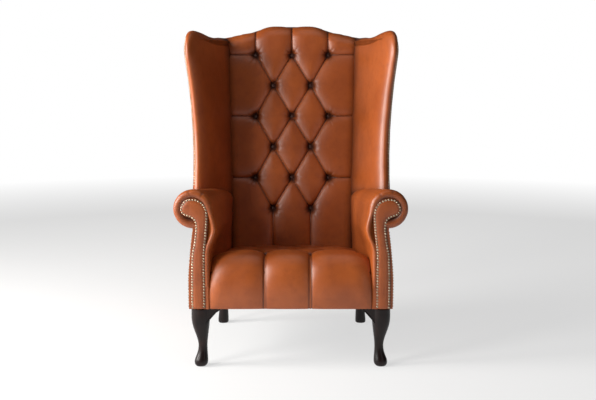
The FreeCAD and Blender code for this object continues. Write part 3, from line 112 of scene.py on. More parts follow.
class Finish:
    """A material and the nodes that make its colour, gloss and grain."""

    def __init__(self, name, **shader):
        self.material = bpy.data.materials.new(name)
        self.material.use_nodes = True
        self.tree = self.material.node_tree
        self.shader = self.tree.nodes["Principled BSDF"]
        for socket, value in shader.items():
            self.shader.inputs[socket.replace("_", " ")].default_value = value

    def node(self, kind, sockets=None, output=0, stops=None, **settings):
        """Adds a node, sets what goes into it, and gives back one of its outputs."""
        made = self.tree.nodes.new(kind)
        for name, value in settings.items():
            setattr(made, name, value)
        if stops:
            made.color_ramp.elements.remove(made.color_ramp.elements[0])
            for place, colour in stops:
                stop = made.color_ramp.elements.new(place)
                stop.color = (*colour, 1.0)
            made.color_ramp.elements.remove(made.color_ramp.elements[-1])
        for socket, value in (sockets or {}).items():
            self.set(made.inputs[socket], value)
        return Value(self, made.outputs[output])

    def set(self, socket, value):
        """Joins another node to a socket, or gives the socket a plain value."""
        if isinstance(value, Value):
            self.tree.links.new(value.socket, socket)
        else:
            socket.default_value = value

    def place(self, stretch=(1.0, 1.0, 1.0)):
        """Where a point lies on the piece, in metres, stretched for grain that runs one way."""
        where = self.node("ShaderNodeTexCoord", output=3)
        return self.node("ShaderNodeMapping", {"Vector": where, "Scale": stretch})

    def noise(self, where, scale, detail=3.0, rough=0.55):
        """Soft random spots; a larger scale makes them finer."""
        return self.node("ShaderNodeTexNoise", {
            "Vector": where, "Scale": scale, "Detail": detail, "Roughness": rough})

    def ramp(self, value, low, high):
        """How far a value has come from low to high, from 0 to 1."""
        return self.node("ShaderNodeMapRange", {0: value, 1: low, 2: high})

    def mix(self, share, first, second):
        """The first colour, with a share of the second laid over it."""
        return self.node("ShaderNodeMix", {0: share, 6: first, 7: second}, output=2, data_type="RGBA")

    def bump(self, height, depth, strength=1.0, under=None):
        """Grain of a depth in metres, over a coarser grain where one is given."""
        sockets = {"Height": height, "Distance": depth, "Strength": strength}
        if under:
            sockets["Normal"] = under
        return self.node("ShaderNodeBump", sockets)

    def finish(self, **links):
        """Joins what was made to the shader's sockets, which are named with underscores."""
        for socket, value in links.items():
            self.set(self.shader.inputs[socket.replace("_", " ")], value)
        return self.material


def rgb(red, green, blue):
    """A colour as it is seen, in the numbers that the shader takes."""
    return tuple((part / 255) ** 2.2 for part in (red, green, blue)) + (1.0,)


paper = Finish("floor_paper", Roughness=0.9)
dust = paper.noise(paper.place(), 1.3)
tone = paper.mix(paper.ramp(dust, 0.2, 0.8), rgb(238, 238, 238), rgb(244, 244, 244))
paper.finish(Base_Color=tone)
# The paper glows where the camera or a gloss sees it, and turns quite white far out, so
# that no horizon shows. It lights nothing else.
WHITE_FROM, WHITE_AT = 3.6, 6.0
NEAR_GLOW = 0.62
glow = paper.node("ShaderNodeEmission", {"Color": (1.0, 1.0, 1.0, 1.0), "Strength": 1.0})
seen = paper.node("ShaderNodeLightPath", output=0)
shiny = paper.node("ShaderNodeLightPath", output=3)
share = paper.node("ShaderNodeMath", {0: seen, 1: shiny}, operation="MAXIMUM")
from_chair = paper.node("ShaderNodeVectorMath", {0: paper.node("ShaderNodeTexCoord", output=3)},
                        output=1, operation="LENGTH")
share = share * (NEAR_GLOW + (1.0 - NEAR_GLOW) * paper.ramp(from_chair, WHITE_FROM, WHITE_AT))
blend = paper.node("ShaderNodeMixShader", {0: share, 2: glow})
paper.tree.links.new(paper.shader.outputs[0], blend.socket.node.inputs[1])
paper.tree.links.new(blend.socket, paper.tree.nodes["Material Output"].inputs[0])
floor.data.materials.append(paper.material)

# The air is white to the camera and lights the chair only weakly.
world = bpy.data.worlds.new("studio")
world.use_nodes = True
bpy.context.scene.world = world
air = world.node_tree
ambient = air.nodes["Background"]
ambient.inputs[0].default_value = (1.0, 1.0, 1.0, 1.0)
ambient.inputs[1].default_value = 0.05
white = air.nodes.new("ShaderNodeBackground")
white.inputs[0].default_value = (1.0, 1.0, 1.0, 1.0)
white.inputs[1].default_value = 1.0
choice = air.nodes.new("ShaderNodeMixShader")
rays = air.nodes.new("ShaderNodeLightPath")
air.links.new(rays.outputs["Is Camera Ray"], choice.inputs[0])
air.links.new(ambient.outputs[0], choice.inputs[1])
air.links.new(white.outputs[0], choice.inputs[2])
air.links.new(choice.outputs[0], air.nodes["World Output"].inputs[0])

# Frame: posts, rails, stumps and glue blocks of sawn beech, doweled and glued. The
# leather hides all of it, and the sawn faces keep a plain open grain.
FRAME_PARTS = ["front_rail", "back_rail", "lumbar_rail", "crest_rail", "corner_blocks"]
FRAME_PAIRS = ["side_rail", "arm_stump", "arm_rail", "arm_slat", "back_post", "wing_post", "wing_rail"]


def dressed(material, names, pairs=()):
    """Gives a finish to solids that are shown as they are; a pair has one on each side."""
    for name in list(names) + [f"{pair}_{side}" for pair in pairs for side in SIDES]:
        mesh = nodes[name].data
        mesh.materials.clear()
        mesh.materials.append(material)


beech = Finish("sawn_beech")
growth = beech.noise(beech.place((1.0, 1.0, 9.0)), 22.0, 5.0)
flecks = beech.noise(beech.place((60.0, 60.0, 7.0)), 12.0)
tone = beech.mix(beech.ramp(growth, 0.3, 0.7), rgb(206, 168, 122), rgb(186, 142, 98))
beech.finish(Base_Color=beech.mix(beech.ramp(flecks, 0.62, 0.75), tone, rgb(150, 104, 66)),
             Roughness=0.62 + 0.2 * flecks, Normal=beech.bump(flecks, 0.0004))
dressed(beech.material, FRAME_PARTS, FRAME_PAIRS)

# Webbing: woven elastic straps, stretched across the seat rails and between the back
# posts and tacked down at both ends.
webbing = Finish("woven_webbing", Sheen_Weight=0.2)
warp = webbing.node("ShaderNodeTexWave", {"Vector": webbing.place(), "Scale": 260.0}, output=1,
                    bands_direction="X")
weft = webbing.node("ShaderNodeTexWave", {"Vector": webbing.place(), "Scale": 260.0}, output=1,
                    bands_direction="Y")
weave = warp * weft
webbing.finish(Base_Color=webbing.mix(weave, rgb(94, 80, 58), rgb(152, 134, 104)),
               Roughness=0.95 - 0.1 * weave, Normal=webbing.bump(weave, 0.0006))
dressed(webbing.material, ["seat_webbing", "back_webbing"])

# Hanger bolts: zinc plated steel, screwed half into the head of a leg and half into the
# frame above it, so that a leg can be taken off and put on by hand.
steel = Finish("zinc_steel", Metallic=1.0)
brushed = steel.noise(steel.place((1.0, 1.0, 20.0)), 300.0)
steel.finish(Base_Color=steel.mix(brushed, rgb(176, 176, 180), rgb(206, 206, 210)),
             Roughness=0.3 + 0.15 * brushed, Normal=steel.bump(brushed, 0.0001))
dressed(steel.material, ["leg_bolts"])

# Legs: dark stained wood, carved from one block each. In front the knee swells out at the
# corner, the ankle draws in and the foot ends in a round pad. The rear legs sweep back to a
# plainer foot.
polish = Finish("dark_polish", Coat_Weight=0.06, Coat_Roughness=0.2, Specular_IOR_Level=0.28)
streaks = polish.noise(polish.place((1.0, 1.0, 0.14)), 90.0, 5.0)
worn = polish.noise(polish.place(), 14.0, 4.0)
tone = polish.mix(polish.ramp(streaks, 0.35, 0.7), rgb(19, 10, 9), rgb(33, 18, 15))
polish.finish(Base_Color=polish.mix(polish.ramp(worn, 0.6, 0.8), tone, rgb(46, 27, 21)),
              Roughness=0.3 + 0.16 * worn, Normal=polish.bump(streaks, 0.0002))


def new_piece(name, material, slot, *stood_for):
    """Names the piece in hand, gives it its finish and says which solids it stands for."""
    piece = bpy.context.object
    piece.name = name
    piece.data.name = name
    piece.data.materials.clear()
    piece.data.materials.append(material)
    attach(piece, "root")
    if stood_for:
        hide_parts(*stood_for)
    return piece


def settle(piece):
    """Puts the piece's place into its mesh and turns all its faces outwards."""
    bpy.ops.object.select_all(action="DESELECT")
    piece.select_set(True)
    bpy.context.view_layer.objects.active = piece
    bpy.ops.object.transform_apply(location=True, rotation=True, scale=True)
    bpy.ops.object.mode_set(mode="EDIT")
    bpy.ops.mesh.select_all(action="SELECT")
    bpy.ops.mesh.remove_doubles(threshold=0.00002)
    bpy.ops.mesh.normals_make_consistent(inside=False)
    bpy.ops.object.mode_set(mode="OBJECT")


def carve(stations):
    """Draws a block up through its stations, each a middle and a half width, and rounds it."""
    bpy.ops.object.select_all(action="DESELECT")
    x, y, z, half = stations[0]
    bpy.ops.mesh.primitive_circle_add(vertices=4, radius=half * math.sqrt(2), fill_type="NGON",
                                      location=(x, y, z), rotation=(0.0, 0.0, math.radians(45.0)))
    piece = bpy.context.object
    bpy.ops.object.transform_apply(location=True, rotation=True, scale=True)
    bpy.ops.object.mode_set(mode="EDIT")
    bpy.ops.mesh.select_all(action="SELECT")
    for (x0, y0, z0, half0), (x1, y1, z1, half1) in zip(stations, stations[1:]):
        bpy.ops.mesh.extrude_region_move(TRANSFORM_OT_translate={"value": (x1 - x0, y1 - y0, z1 - z0)})
        bpy.ops.transform.resize(value=(half1 / half0, half1 / half0, 1.0), center_override=(x1, y1, z1))
    bpy.ops.object.mode_set(mode="OBJECT")
    soften = piece.modifiers.new("soften", "SUBSURF")
    soften.levels = soften.render_levels = 4
    bpy.ops.object.modifier_apply(modifier="soften")
    bpy.ops.object.shade_smooth_by_angle(angle=math.radians(50.0))
    settle(piece)
    return piece


# A station of a front leg says how far its middle lies inwards from the corner, its height
# and its half width; one of a rear leg says how far back it lies. All are in millimetres.
LEG_X = 0.329
LEG_Y = -0.3931
DIAGONAL = 0.7
CABRIOLE = [(-2, 0, 16), (-2, 3, 21), (-1, 10, 27), (0, 24, 27.5), (4.5, 40, 22.5), (8, 62, 18),
            (8.5, 84, 17.5), (6.5, 108, 22), (2.5, 134, 29), (-0.5, 160, 35), (-1, 186, 37),
            (0, 205, 37), (0, 218, 37), (0, 219.5, 37)]
REAR = [(2, 0, 20), (2, 3, 24.5), (1, 22, 24), (-3, 60, 20.5), (-7, 110, 19), (-8, 165, 21),
        (-8, 205, 23), (-8, 218, 23), (-8, 219.5, 23)]
REAR_X = 0.294
REAR_Y = 0.205
REAR_SPLAY = 0.5
REAR_SWEEP = 1.2
for side, sign in SIDES.items():
    carve([(sign * (LEG_X - DIAGONAL * inward / 1000), LEG_Y + DIAGONAL * inward / 1000,
            z / 1000, half / 1000) for inward, z, half in CABRIOLE])
    new_piece(f"cabriole_leg_{side}", polish.material, "dark_wood", f"front_leg_{side}")
    carve([(sign * (REAR_X + back * REAR_SPLAY / 1000), REAR_Y + (back + 8) * REAR_SWEEP / 1000,
            z / 1000, half / 1000) for back, z, half in REAR])
    new_piece(f"back_leg_{side}", polish.material, "dark_wood", f"rear_leg_{side}")


def mesh_piece(name, rings):
    """A closed form drawn through rings of points that all have the same count."""
    count = len(rings[0])
    points = [point for ring in rings for point in ring]
    faces = []
    for row in range(len(rings) - 1):
        low = row * count
        high = low + count
        for k in range(count):
            after = (k + 1) % count
            faces.append((low + k, low + after, high + after, high + k))
    faces.append(tuple(range(count - 1, -1, -1)))
    faces.append(tuple(range(len(points) - count, len(points))))
    mesh = bpy.data.meshes.new(name)
    mesh.from_pydata(points, [], faces)
    piece = bpy.data.objects.new(name, mesh)
    bpy.context.scene.collection.objects.link(piece)
    mesh.polygons.foreach_set("use_smooth", [True] * len(mesh.polygons))
    settle(piece)
    return piece


def through(points, steps):
    """A smooth line through points, as a row of chords."""
    count = len(points)
    line = []
    for k in range(count - 1):
        a, b, c, d = (points[min(max(k + shift, 0), count - 1)] for shift in (-1, 0, 1, 2))
        for step in range(steps):
            t = step / steps
            line.append(tuple(
                0.5 * (2 * q + (r - p) * t + (2 * p - 5 * q + 4 * r - s) * t * t
                       + (3 * q - p - 3 * r + s) * t ** 3)
                for p, q, r, s in zip(a, b, c, d)))
    line.append(tuple(points[-1]))
    return line


# Knee brackets: dark blocks glued beside each front leg under the rails, sawn to a
# hollow curve that runs from the knee out along the rail.

# The outline says how far out along the rail and how far down, and the edge how deep in
# the block and how far drawn in, all in millimetres.
BRACKET = [(0, 0), (0, 60), (10, 47), (21, 32), (34, 18), (50, 7), (53, 0)]
BRACKET_EDGE = ((0, 2), (2, 0), (22, 0), (24, 2))
BRACKET_TOP = 0.2199
BRACKET_LAP = 0.016
FRONT_FACE = -0.4176
SIDE_FACE = 0.3465
KNEE_INNER = 0.293
KNEE_REAR = -0.3641
curve = [(reach / 1000, -drop / 1000) for reach, drop in BRACKET]
bracket_line = [curve[0]] + through(curve[1:], 4)
for side, sign in SIDES.items():
    brackets = []
    for along in ("x", "y"):
        rings = []
        for depth, draw in BRACKET_EDGE:
            ring = []
            for reach, drop in bracket_line:
                out = reach - BRACKET_LAP - (draw / 1000 if reach > 0.001 else 0.0)
                height = BRACKET_TOP + drop + (draw / 1000 if drop < -0.001 else 0.0)
                if along == "x":
                    ring.append((sign * (KNEE_INNER - out), FRONT_FACE + depth / 1000, height))
                else:
                    ring.append((sign * (SIDE_FACE - depth / 1000), KNEE_REAR + out, height))
            rings.append(ring)
        brackets.append(mesh_piece("bracket", rings))
    bpy.ops.object.select_all(action="DESELECT")
    for bracket in brackets:
        bracket.select_set(True)
    bpy.context.view_layer.objects.active = brackets[0]
    bpy.ops.object.join()
    bpy.ops.object.shade_smooth_by_angle(angle=math.radians(40.0))
    new_piece(f"knee_brackets_{side}", polish.material, "dark_wood", f"knee_blocks_{side}")

# Leather: full-grain hide in tan. Creases, pits, buttons and joins get painted shade, so the
# crowns read lighter. It is used on every covered part, and its grain is fine.
hide = Finish("tan_leather", Coat_Weight=0.1, Coat_Roughness=0.28)
where = hide.place()
clouds = hide.noise(where, 5.0, 4.0, 0.6)
specks = hide.noise(where, 38.0, 4.0, 0.6)
pores = hide.node("ShaderNodeTexVoronoi", {"Vector": where, "Scale": 620.0})
lines = hide.noise(hide.place((1.0, 1.0, 0.35)), 70.0, 5.0, 0.65)
# Each covered piece stores a painted shade amount on its points; below, it darkens the tan towards
# near-black brown.
painted_shade = hide.node("ShaderNodeAttribute", output=2, attribute_name="painted_shade")
tone = hide.mix(hide.ramp(clouds, 0.3, 0.7), rgb(140, 68, 28), rgb(168, 86, 38))
tone = hide.mix(hide.ramp(specks, 0.5, 0.85) * 0.5, tone, rgb(120, 54, 23))
tone = hide.mix(painted_shade ** 0.8 * 0.92, tone, rgb(44, 17, 8))
pattern = hide.bump(lines, 0.0009, 0.5)
hide.finish(Base_Color=tone, Roughness=0.33 + 0.14 * specks + 0.12 * painted_shade,
            Normal=hide.bump(pores, 0.0003, 0.5, pattern))


def paint_shade(piece, shade_of):
    """Stores each point's painted shade, which darkens the leather where shade falls in creases, pits and
    joins.
    """
    shading = piece.data.attributes.new("painted_shade", "FLOAT", "POINT")
    shading.data.foreach_set("value", [shade_of(point.co) for point in piece.data.vertices])


# Outside panels: leather over thin lining, tacked flat on the outside of the back, the
# arms and the wings, with a turned edge.
TURNED_EDGE = 0.0015


def covered(node):
    """Shows an outside panel's own solid with its edge turned, in leather."""
    bpy.ops.object.select_all(action="DESELECT")
    cut = nodes[node].data.copy()
    piece = bpy.data.objects.new(node, cut)
    bpy.context.scene.collection.objects.link(piece)
    settle(piece)
    bpy.ops.object.mode_set(mode="EDIT")
    bpy.ops.mesh.select_all(action="SELECT")
    bpy.ops.mesh.dissolve_limited(angle_limit=math.radians(1.0))
    bpy.ops.object.mode_set(mode="OBJECT")
    edge = piece.modifiers.new("turned_edge", "BEVEL")
    edge.width = TURNED_EDGE
    edge.segments = 3
    edge.angle_limit = math.radians(35.0)
    bpy.ops.object.modifier_apply(modifier="turned_edge")
    bpy.ops.object.shade_smooth_by_angle(angle=math.radians(40.0))
    new_piece(f"{node}_cover", hide.material, "leather", node)


covered("outside_back")
for side in SIDES:
    covered(f"outside_arm_{side}")
    covered(f"outside_wing_{side}")

# Bottom cloth: black woven cloth, cut to the seat frame and tacked under its rails. It
# keeps the dust in and the webbing out of sight.
cloth = Finish("dust_cloth", Sheen_Weight=0.3)
threads = cloth.noise(cloth.place(), 900.0)
cloth.finish(Base_Color=cloth.mix(threads, rgb(24, 24, 25), rgb(46, 46, 48)),
             Roughness=0.9 + 0.05 * threads, Normal=cloth.bump(threads, 0.0002))
dressed(cloth.material, ["bottom_cloth"])

# Arms: the inside arm and the roll are one padded form of leather over fibre, drawn
# over the roll, pleated round its front edge and tacked behind the facing.

# Both ends of an arm say where the roll's middle lies across and up, the roll's radius and
# how far out the foot of the inside arm stands.
FACING_Y = -0.4241
ARM_FRONT = (0.352, 0.586, 0.072, 0.292)
ARM_BACK = (0.300, 0.540, 0.051, 0.252)
ARM_LENGTH = 0.560
ARM_LOW = 0.300
ARM_THICK = 0.026
ARM_BEHIND = 0.068
ROLL_STEPS = 56
PLEAT_TURNS = (80.0, 122.0, 159.0, 33.0, -25.0)
BACK_FOOT_Y = 0.575
BACK_FOOT_Z = 0.400
RAKE = math.tan(math.radians(11.5))


def back_face(z, behind=0.0):
    """How far back the face of the inside back lies at a height."""
    return FACING_Y + BACK_FOOT_Y + (z - BACK_FOOT_Z) * RAKE + behind


def in_pleat(turn, width):
    """How far a direction from the roll's middle, in degrees, lies in one of its pleats."""
    return sum(math.exp(-((turn - at) / width) ** 2) for at in PLEAT_TURNS)


def arm_ring(depth, draw, sign, pleat):
    """A section of an arm: up the inside, round the roll and down behind the leather."""
    share = max(0.0, depth) / ARM_LENGTH
    cx, cz, radius, foot = (a + (b - a) * share for a, b in zip(ARM_FRONT, ARM_BACK))
    belly = 0.014 * (1 - share)
    inside = [(foot, ARM_LOW), (foot, cz - 0.180), (foot - 0.3 * belly, cz - 0.140),
              (cx - radius - belly, cz - 0.078), (cx - radius - 0.2 * belly, cz - 0.02)]
    ring = [(x + 0.62 * draw, z) for x, z in through(inside, 8)]
    for k in range(1, ROLL_STEPS + 1):
        turn = math.radians(180.0 - 270.0 * k / ROLL_STEPS)
        reach = radius - draw - pleat * in_pleat(math.degrees(turn), 2.2)
        ring.append((cx + reach * math.cos(turn), cz + reach * math.sin(turn)))
    ring.append((foot + ARM_THICK, cz - radius + 0.6 * draw))
    ring.append((foot + ARM_THICK, ARM_LOW))
    return [(sign * x, min(FACING_Y + depth, back_face(z, ARM_BEHIND)), z) for x, z in ring]


def arm_painted_shade(point):
    """Painted shade of an arm: behind the facing, in the pleats and where it meets the back."""
    ahead = FACING_Y + 0.010 - point.y
    turn = math.degrees(math.atan2(point.z - ARM_FRONT[1], abs(point.x) - ARM_FRONT[0]))
    reach = math.hypot(point.z - ARM_FRONT[1], abs(point.x) - ARM_FRONT[0])
    inner = math.exp(-max(0.0, reach - 0.038) / 0.009) if point.y < FACING_Y + 0.012 else 0.0
    crease = 0.55 * min(1.0, in_pleat(turn, 2.0)) * max(0.0, min(1.0, ahead / 0.008))
    against = math.exp(-max(0.0, back_face(point.z) - point.y) / 0.018)
    return min(1.0, max(inner, crease, 0.7 * against))


# The rounded front of an arm: how far the leather is drawn in, how far behind the board's
# face it lies and how deep its pleats are. A flat strip covers the stump beside the seat.
FRONT_EDGE = ((0.036, 0.0075, 0.0), (0.031, 0.0015, 0.001), (0.025, -0.002, 0.003),
              (0.018, -0.0035, 0.004), (0.011, -0.002, 0.004), (0.006, 0.002, 0.003),
              (0.0025, 0.008, 0.002), (0.0005, 0.016, 0.001), (0.0, 0.026, 0.0))
ARM_SECTIONS = 40
RAIL_LOW = 0.2205
STRIP_HIGH = 0.46
STRIP_EDGE = ((-0.0005, 0.004), (0.002, 0.0012), (0.006, 0.0), (0.030, 0.0))
for side, sign in SIDES.items():
    rings = [arm_ring(depth, draw, sign, pleat) for draw, depth, pleat in FRONT_EDGE]
    rings += [arm_ring(0.026 + 0.644 * k / ARM_SECTIONS, 0.0, sign, 0.0)
              for k in range(1, ARM_SECTIONS + 1)]
    piece = mesh_piece(f"arm_pad_{side}", rings)
    paint_shade(piece, arm_painted_shade)
    new_piece(f"arm_pad_cover_{side}", hide.material, "leather", f"arm_pad_{side}")
    rings = []
    for y, draw in STRIP_EDGE:
        near, far = 0.294 + draw, 0.314
        corners = ((near, RAIL_LOW), (far, RAIL_LOW), (far, STRIP_HIGH), (near, STRIP_HIGH))
        rings.append([(sign * x, FACING_Y + y, z) for x, z in corners])
    strip = mesh_piece("strip", rings)
    bpy.ops.object.shade_smooth_by_angle(angle=math.radians(40.0))
    new_piece(f"arm_edge_{side}", hide.material, "leather")

# Facings: padded boards in the shape of a scroll, covered in leather, fixed to the front
# of each arm and edged with a row of domed nails, set almost touching.

# The outline runs from the outer lower corner up and round to the inner one, across and up
# in millimetres. The edge says how far outside it and how far behind the board's face.
SCROLL = [(355, 222), (355, 290), (352, 410), (344, 456), (339, 492), (337.2, 520), (341, 544), (356, 558),
          (374, 564.5), (386.5, 573), (390.4, 587), (385, 603), (372, 616), (355, 619.5), (338, 617.5),
          (319, 607.5), (305, 587), (301.6, 562), (303, 528), (305.8, 494), (309, 470), (312, 440),
          (313.4, 400), (313.4, 290), (313.4, 222)]
FACING_EDGE = ((0.0062, 0.0055), (0.0064, 0.002), (0.0052, -0.0008), (0.002, -0.0022),
               (-0.003, -0.0038), (-0.0075, -0.0056), (-0.0105, -0.0062))
FLANK = [(369.3, 224), (369.3, 330), (362, 425), (352.5, 505)]
NAIL_PITCH = 0.0104
NAIL_LIFT = 0.0021
brass = Finish("aged_brass", Metallic=1.0)
patina = brass.noise(brass.place(), 160.0, 3.0)
brass.finish(Base_Color=brass.mix(brass.ramp(patina, 0.4, 0.75), rgb(196, 182, 158), rgb(96, 76, 54)),
             Roughness=0.22 + 0.2 * patina, Normal=brass.bump(patina, 0.0002))


def grown(line, reach):
    """The same line moved outwards, away from the board's middle."""
    moved = []
    count = len(line)
    for k, (x, z) in enumerate(line):
        ahead = line[min(k + 1, count - 1)]
        behind = line[max(k - 1, 0)]
        run = math.hypot(ahead[0] - behind[0], ahead[1] - behind[1]) or 1.0
        moved.append((x + reach * (ahead[1] - behind[1]) / run, z - reach * (ahead[0] - behind[0]) / run))
    return moved


def evenly(line, pitch):
    """Places along a line that lie a pitch apart."""
    places = []
    travelled = 0.0
    wanted = pitch / 2
    for start, end in zip(line, line[1:]):
        run = math.dist(start, end)
        while wanted <= travelled + run and run > 0:
            share = (wanted - travelled) / run
            places.append(tuple(a + (b - a) * share for a, b in zip(start, end)))
            wanted += pitch
        travelled += run
    return places


def dome(segments, rings, radius, foot, height):
    """A ball that is cut off at its foot and pressed down to a share of its height."""
    bpy.ops.object.select_all(action="DESELECT")
    bpy.ops.mesh.primitive_uv_sphere_add(segments=segments, ring_count=rings, radius=radius,
                                         location=(0.0, 0.0, 0.0))
    bpy.ops.object.mode_set(mode="EDIT")
    bpy.ops.mesh.select_all(action="SELECT")
    bpy.ops.mesh.bisect(plane_co=(0.0, 0.0, foot), plane_no=(0.0, 0.0, 1.0), clear_inner=True,
                        use_fill=True)
    bpy.ops.mesh.select_all(action="SELECT")
    bpy.ops.transform.resize(value=(1.0, 1.0, height), center_override=(0.0, 0.0, 0.0))
    bpy.ops.object.mode_set(mode="OBJECT")
    model = bpy.context.object
    model.data.polygons.foreach_set("use_smooth", [True] * len(model.data.polygons))
    return model


def copies(model, places, name):
    """One mesh that holds a copy of a small model at each place, facing its direction."""
    points = []
    faces = []
    for place, direction in places:
        turn = Vector(direction).to_track_quat("Z", "Y")
        start = len(points)
        points += [Vector(place) + turn @ vertex.co for vertex in model.data.vertices]
        faces += [tuple(start + corner for corner in face.vertices) for face in model.data.polygons]
    mesh = bpy.data.meshes.new(name)
    mesh.from_pydata(points, [], faces)
    mesh.polygons.foreach_set("use_smooth", [True] * len(faces))
    piece = bpy.data.objects.new(name, mesh)
    bpy.context.scene.collection.objects.link(piece)
    bpy.context.view_layer.objects.active = piece
    return piece


def facing_painted_shade(point):
    """Painted shade along the facing's edge, under the nails."""
    return 0.9 * math.exp(-max(0.0, FACING_Y + 0.001 - point.y) / 0.0032)


nail = dome(10, 6, 0.0041, 0.0, 0.6)
scroll = [(x / 1000, z / 1000) for x, z in through(SCROLL, 6)]
flank = [(x / 1000, FACING_Y + 0.010, z / 1000) for x, z in through(FLANK, 10)]
for side, sign in SIDES.items():
    rings = [[(sign * x, FACING_Y + y, z) for x, z in grown(scroll, reach)] for reach, y in FACING_EDGE]
    piece = mesh_piece("facing", rings)
    paint_shade(piece, facing_painted_shade)
    new_piece(f"facing_cover_{side}", hide.material, "leather", f"arm_facing_{side}")
    spots = [((sign * x, FACING_Y - NAIL_LIFT, z), (0.0, -1.0, 0.0))
             for x, z in evenly(scroll, NAIL_PITCH)]
    copies(nail, spots, "nails")
    new_piece(f"facing_nails_{side}", brass.material, "leather")
    spots = [((sign * x, y, z), (sign, 0.0, 0.0)) for x, y, z in evenly(flank, NAIL_PITCH)]
    copies(nail, spots, "nails")
    new_piece(f"outside_arm_nails_{side}", brass.material, "leather")

# Wings: padded boards that stand forward from the back posts. The leather runs over the
# inner face and round a thick front edge, and is nailed along the outer side.

# The outline runs from the arm up the front and over to the post, as how far behind the
# facings and how high. The round edge says how far the leather is drawn in from there and
# its share of the way from the inner face to the outer one.
BACK_HALF = 0.247
BACK_FLARE = 0.028
WING_RAKE = math.tan(math.radians(17.0))
WING_OUT = 0.209
WING_HALF = 0.312
WING_FLARE = 0.02
WING_LOW = 0.531
WING_BEHIND = 0.072
WING_TOP_BEHIND = 0.103
POST_BEHIND = 0.075
HOLLOW = [(0.330, 0.520), (0.345, 0.630), (0.372, 0.720), (0.389, 0.823), (0.391, 0.900), (0.388, 0.985),
          (0.374, 1.085), (0.3655, 1.130), (0.370, 1.172), (0.391, 1.208), (0.424, 1.228), (0.455, 1.231),
          (0.515, 1.225), (0.590, 1.214), (0.670, 1.210), (0.735, 1.213)]
ROUND_EDGE = ((0.082, 0.0), (0.066, 0.012), (0.050, 0.042), (0.036, 0.088), (0.024, 0.15),
              (0.014, 0.23), (0.006, 0.34), (0.0015, 0.46), (0.0, 0.57), (0.0022, 0.70),
              (0.0065, 0.82), (0.012, 0.91), (0.019, 0.97), (0.027, 0.995), (0.036, 0.995))


def back_half(z):
    """Half the width of the inside back at a height."""
    return BACK_HALF + BACK_FLARE * (z - BACK_FOOT_Z)


def wing_point(depth, z, share):
    """A point of the right wing, a share of the way from its inner to its outer face."""
    inner = back_half(z) + (back_face(z) - depth) * WING_RAKE
    outer = WING_HALF + WING_FLARE * (z - BACK_FOOT_Z) + (back_face(z, POST_BEHIND) - depth) * WING_OUT
    return inner + (outer - inner) * share, depth, z


def wing_ring(draw, share, sign, pull=0.0):
    """The wing's outline drawn in, or pulled back to the post by a share of the way."""
    outline = through(HOLLOW, 6)
    shrunk = [(y1, z0 + (z1 - z0) * 0.4) for (_, z0), (y1, z1) in zip(outline, grown(outline, draw))]
    ring = [(max(y, 0.300), max(z, WING_LOW)) for y, z in shrunk]
    top = ring[-1][1]
    ring += [(0.850, top), (0.850, top - 0.004), (0.735, top - 0.012), (0.735, WING_LOW),
             (0.355, WING_LOW)]
    points = []
    for y, z in ring:
        end = back_face(z, WING_TOP_BEHIND if y > 0.800 else WING_BEHIND)
        depth = min(FACING_Y + y, end)
        depth += (end - depth) * pull
        x, depth, z = wing_point(depth, z, share)
        points.append((sign * x, depth, z))
    return points


def wing_painted_shade(point):
    """Painted shade of a wing: where it meets the inside back and the top of the arm."""
    behind = back_face(point.z) - point.y
    at_back = math.exp(-max(0.0, behind - 0.004) / 0.014)
    at_arm = math.exp(-max(0.0, point.z - 0.648 + 0.126 * (point.y - FACING_Y)) / 0.010)
    return min(1.0, 0.85 * at_back + 0.6 * at_arm)


border = grown(through(HOLLOW[1:13], 8), 0.0095)
nail_line = [wing_point(FACING_Y + y, z, 0.885) for y, z in border]
for side, sign in SIDES.items():
    rings = [wing_ring(ROUND_EDGE[0][0], 0.0, sign, pull) for pull in (1.0, 0.85, 0.65, 0.45, 0.25, 0.1)]
    rings += [wing_ring(draw, share, sign) for draw, share in ROUND_EDGE]
    piece = mesh_piece("wing", rings)
    paint_shade(piece, wing_painted_shade)
    new_piece(f"wing_cover_{side}", hide.material, "leather", f"wing_pad_{side}")
    spots = [((sign * x, y, z), (sign * 0.7, -0.7, 0.0)) for x, y, z in evenly(nail_line, NAIL_PITCH)]
    copies(nail, spots, "nails")
    new_piece(f"wing_nails_{side}", brass.material, "leather")

# Inside back: deep-buttoned leather over fibre and foam. Twine pulls each button down to
# the webbing, and the spare leather lies in folds from button to button.

# Rows of two and of three buttons take turns: the two stand CLOSE to the middle and the
# outer ones of the three stand WIDE of it.
ROWS = 6
ROW_LOW = 0.498
ROW_RISE = 0.1284
CLOSE = 0.079
WIDE = 0.154
BACK_EDGE = 0.300
BUTTON_SINK = 0.027
BUTTON_PULL = 0.024
FOLD_SINK = 0.0165
GROOVE = 0.0017
PUFF = 0.066
ROUNDING = 0.0065
PUCKER = 0.0009


def button_row(row, close, wide, shift=0.0):
    """Where the buttons of a row stand across."""
    return [shift - close, shift + close] if row % 2 == 0 else [shift - wide, shift, shift + wide]


def creases(rows, low, rise, close, wide, edge, under, over, shift=0.0):
    """The folds of a buttoned layer: diamonds, and straight folds out to each edge."""
    lines = []
    for row in range(rows - 1):
        for x0 in button_row(row, close, wide, shift):
            for x1 in button_row(row + 1, close, wide, shift):
                if abs(x1 - x0) < 1.2 * close:
                    lines.append(((x0, low + row * rise), (x1, low + (row + 1) * rise)))
    for row in range(1, rows, 2):
        for sign in SIDES.values():
            z = low + row * rise
            lines.append(((shift + sign * wide, z), (sign * edge, z + 0.002)))
    for x in button_row(0, close, wide, shift):
        lines.append(((x, low), (x, under)))
    for x in button_row(rows - 1, close, wide, shift):
        lines.append(((x, low + (rows - 1) * rise), (x, over)))
    return lines


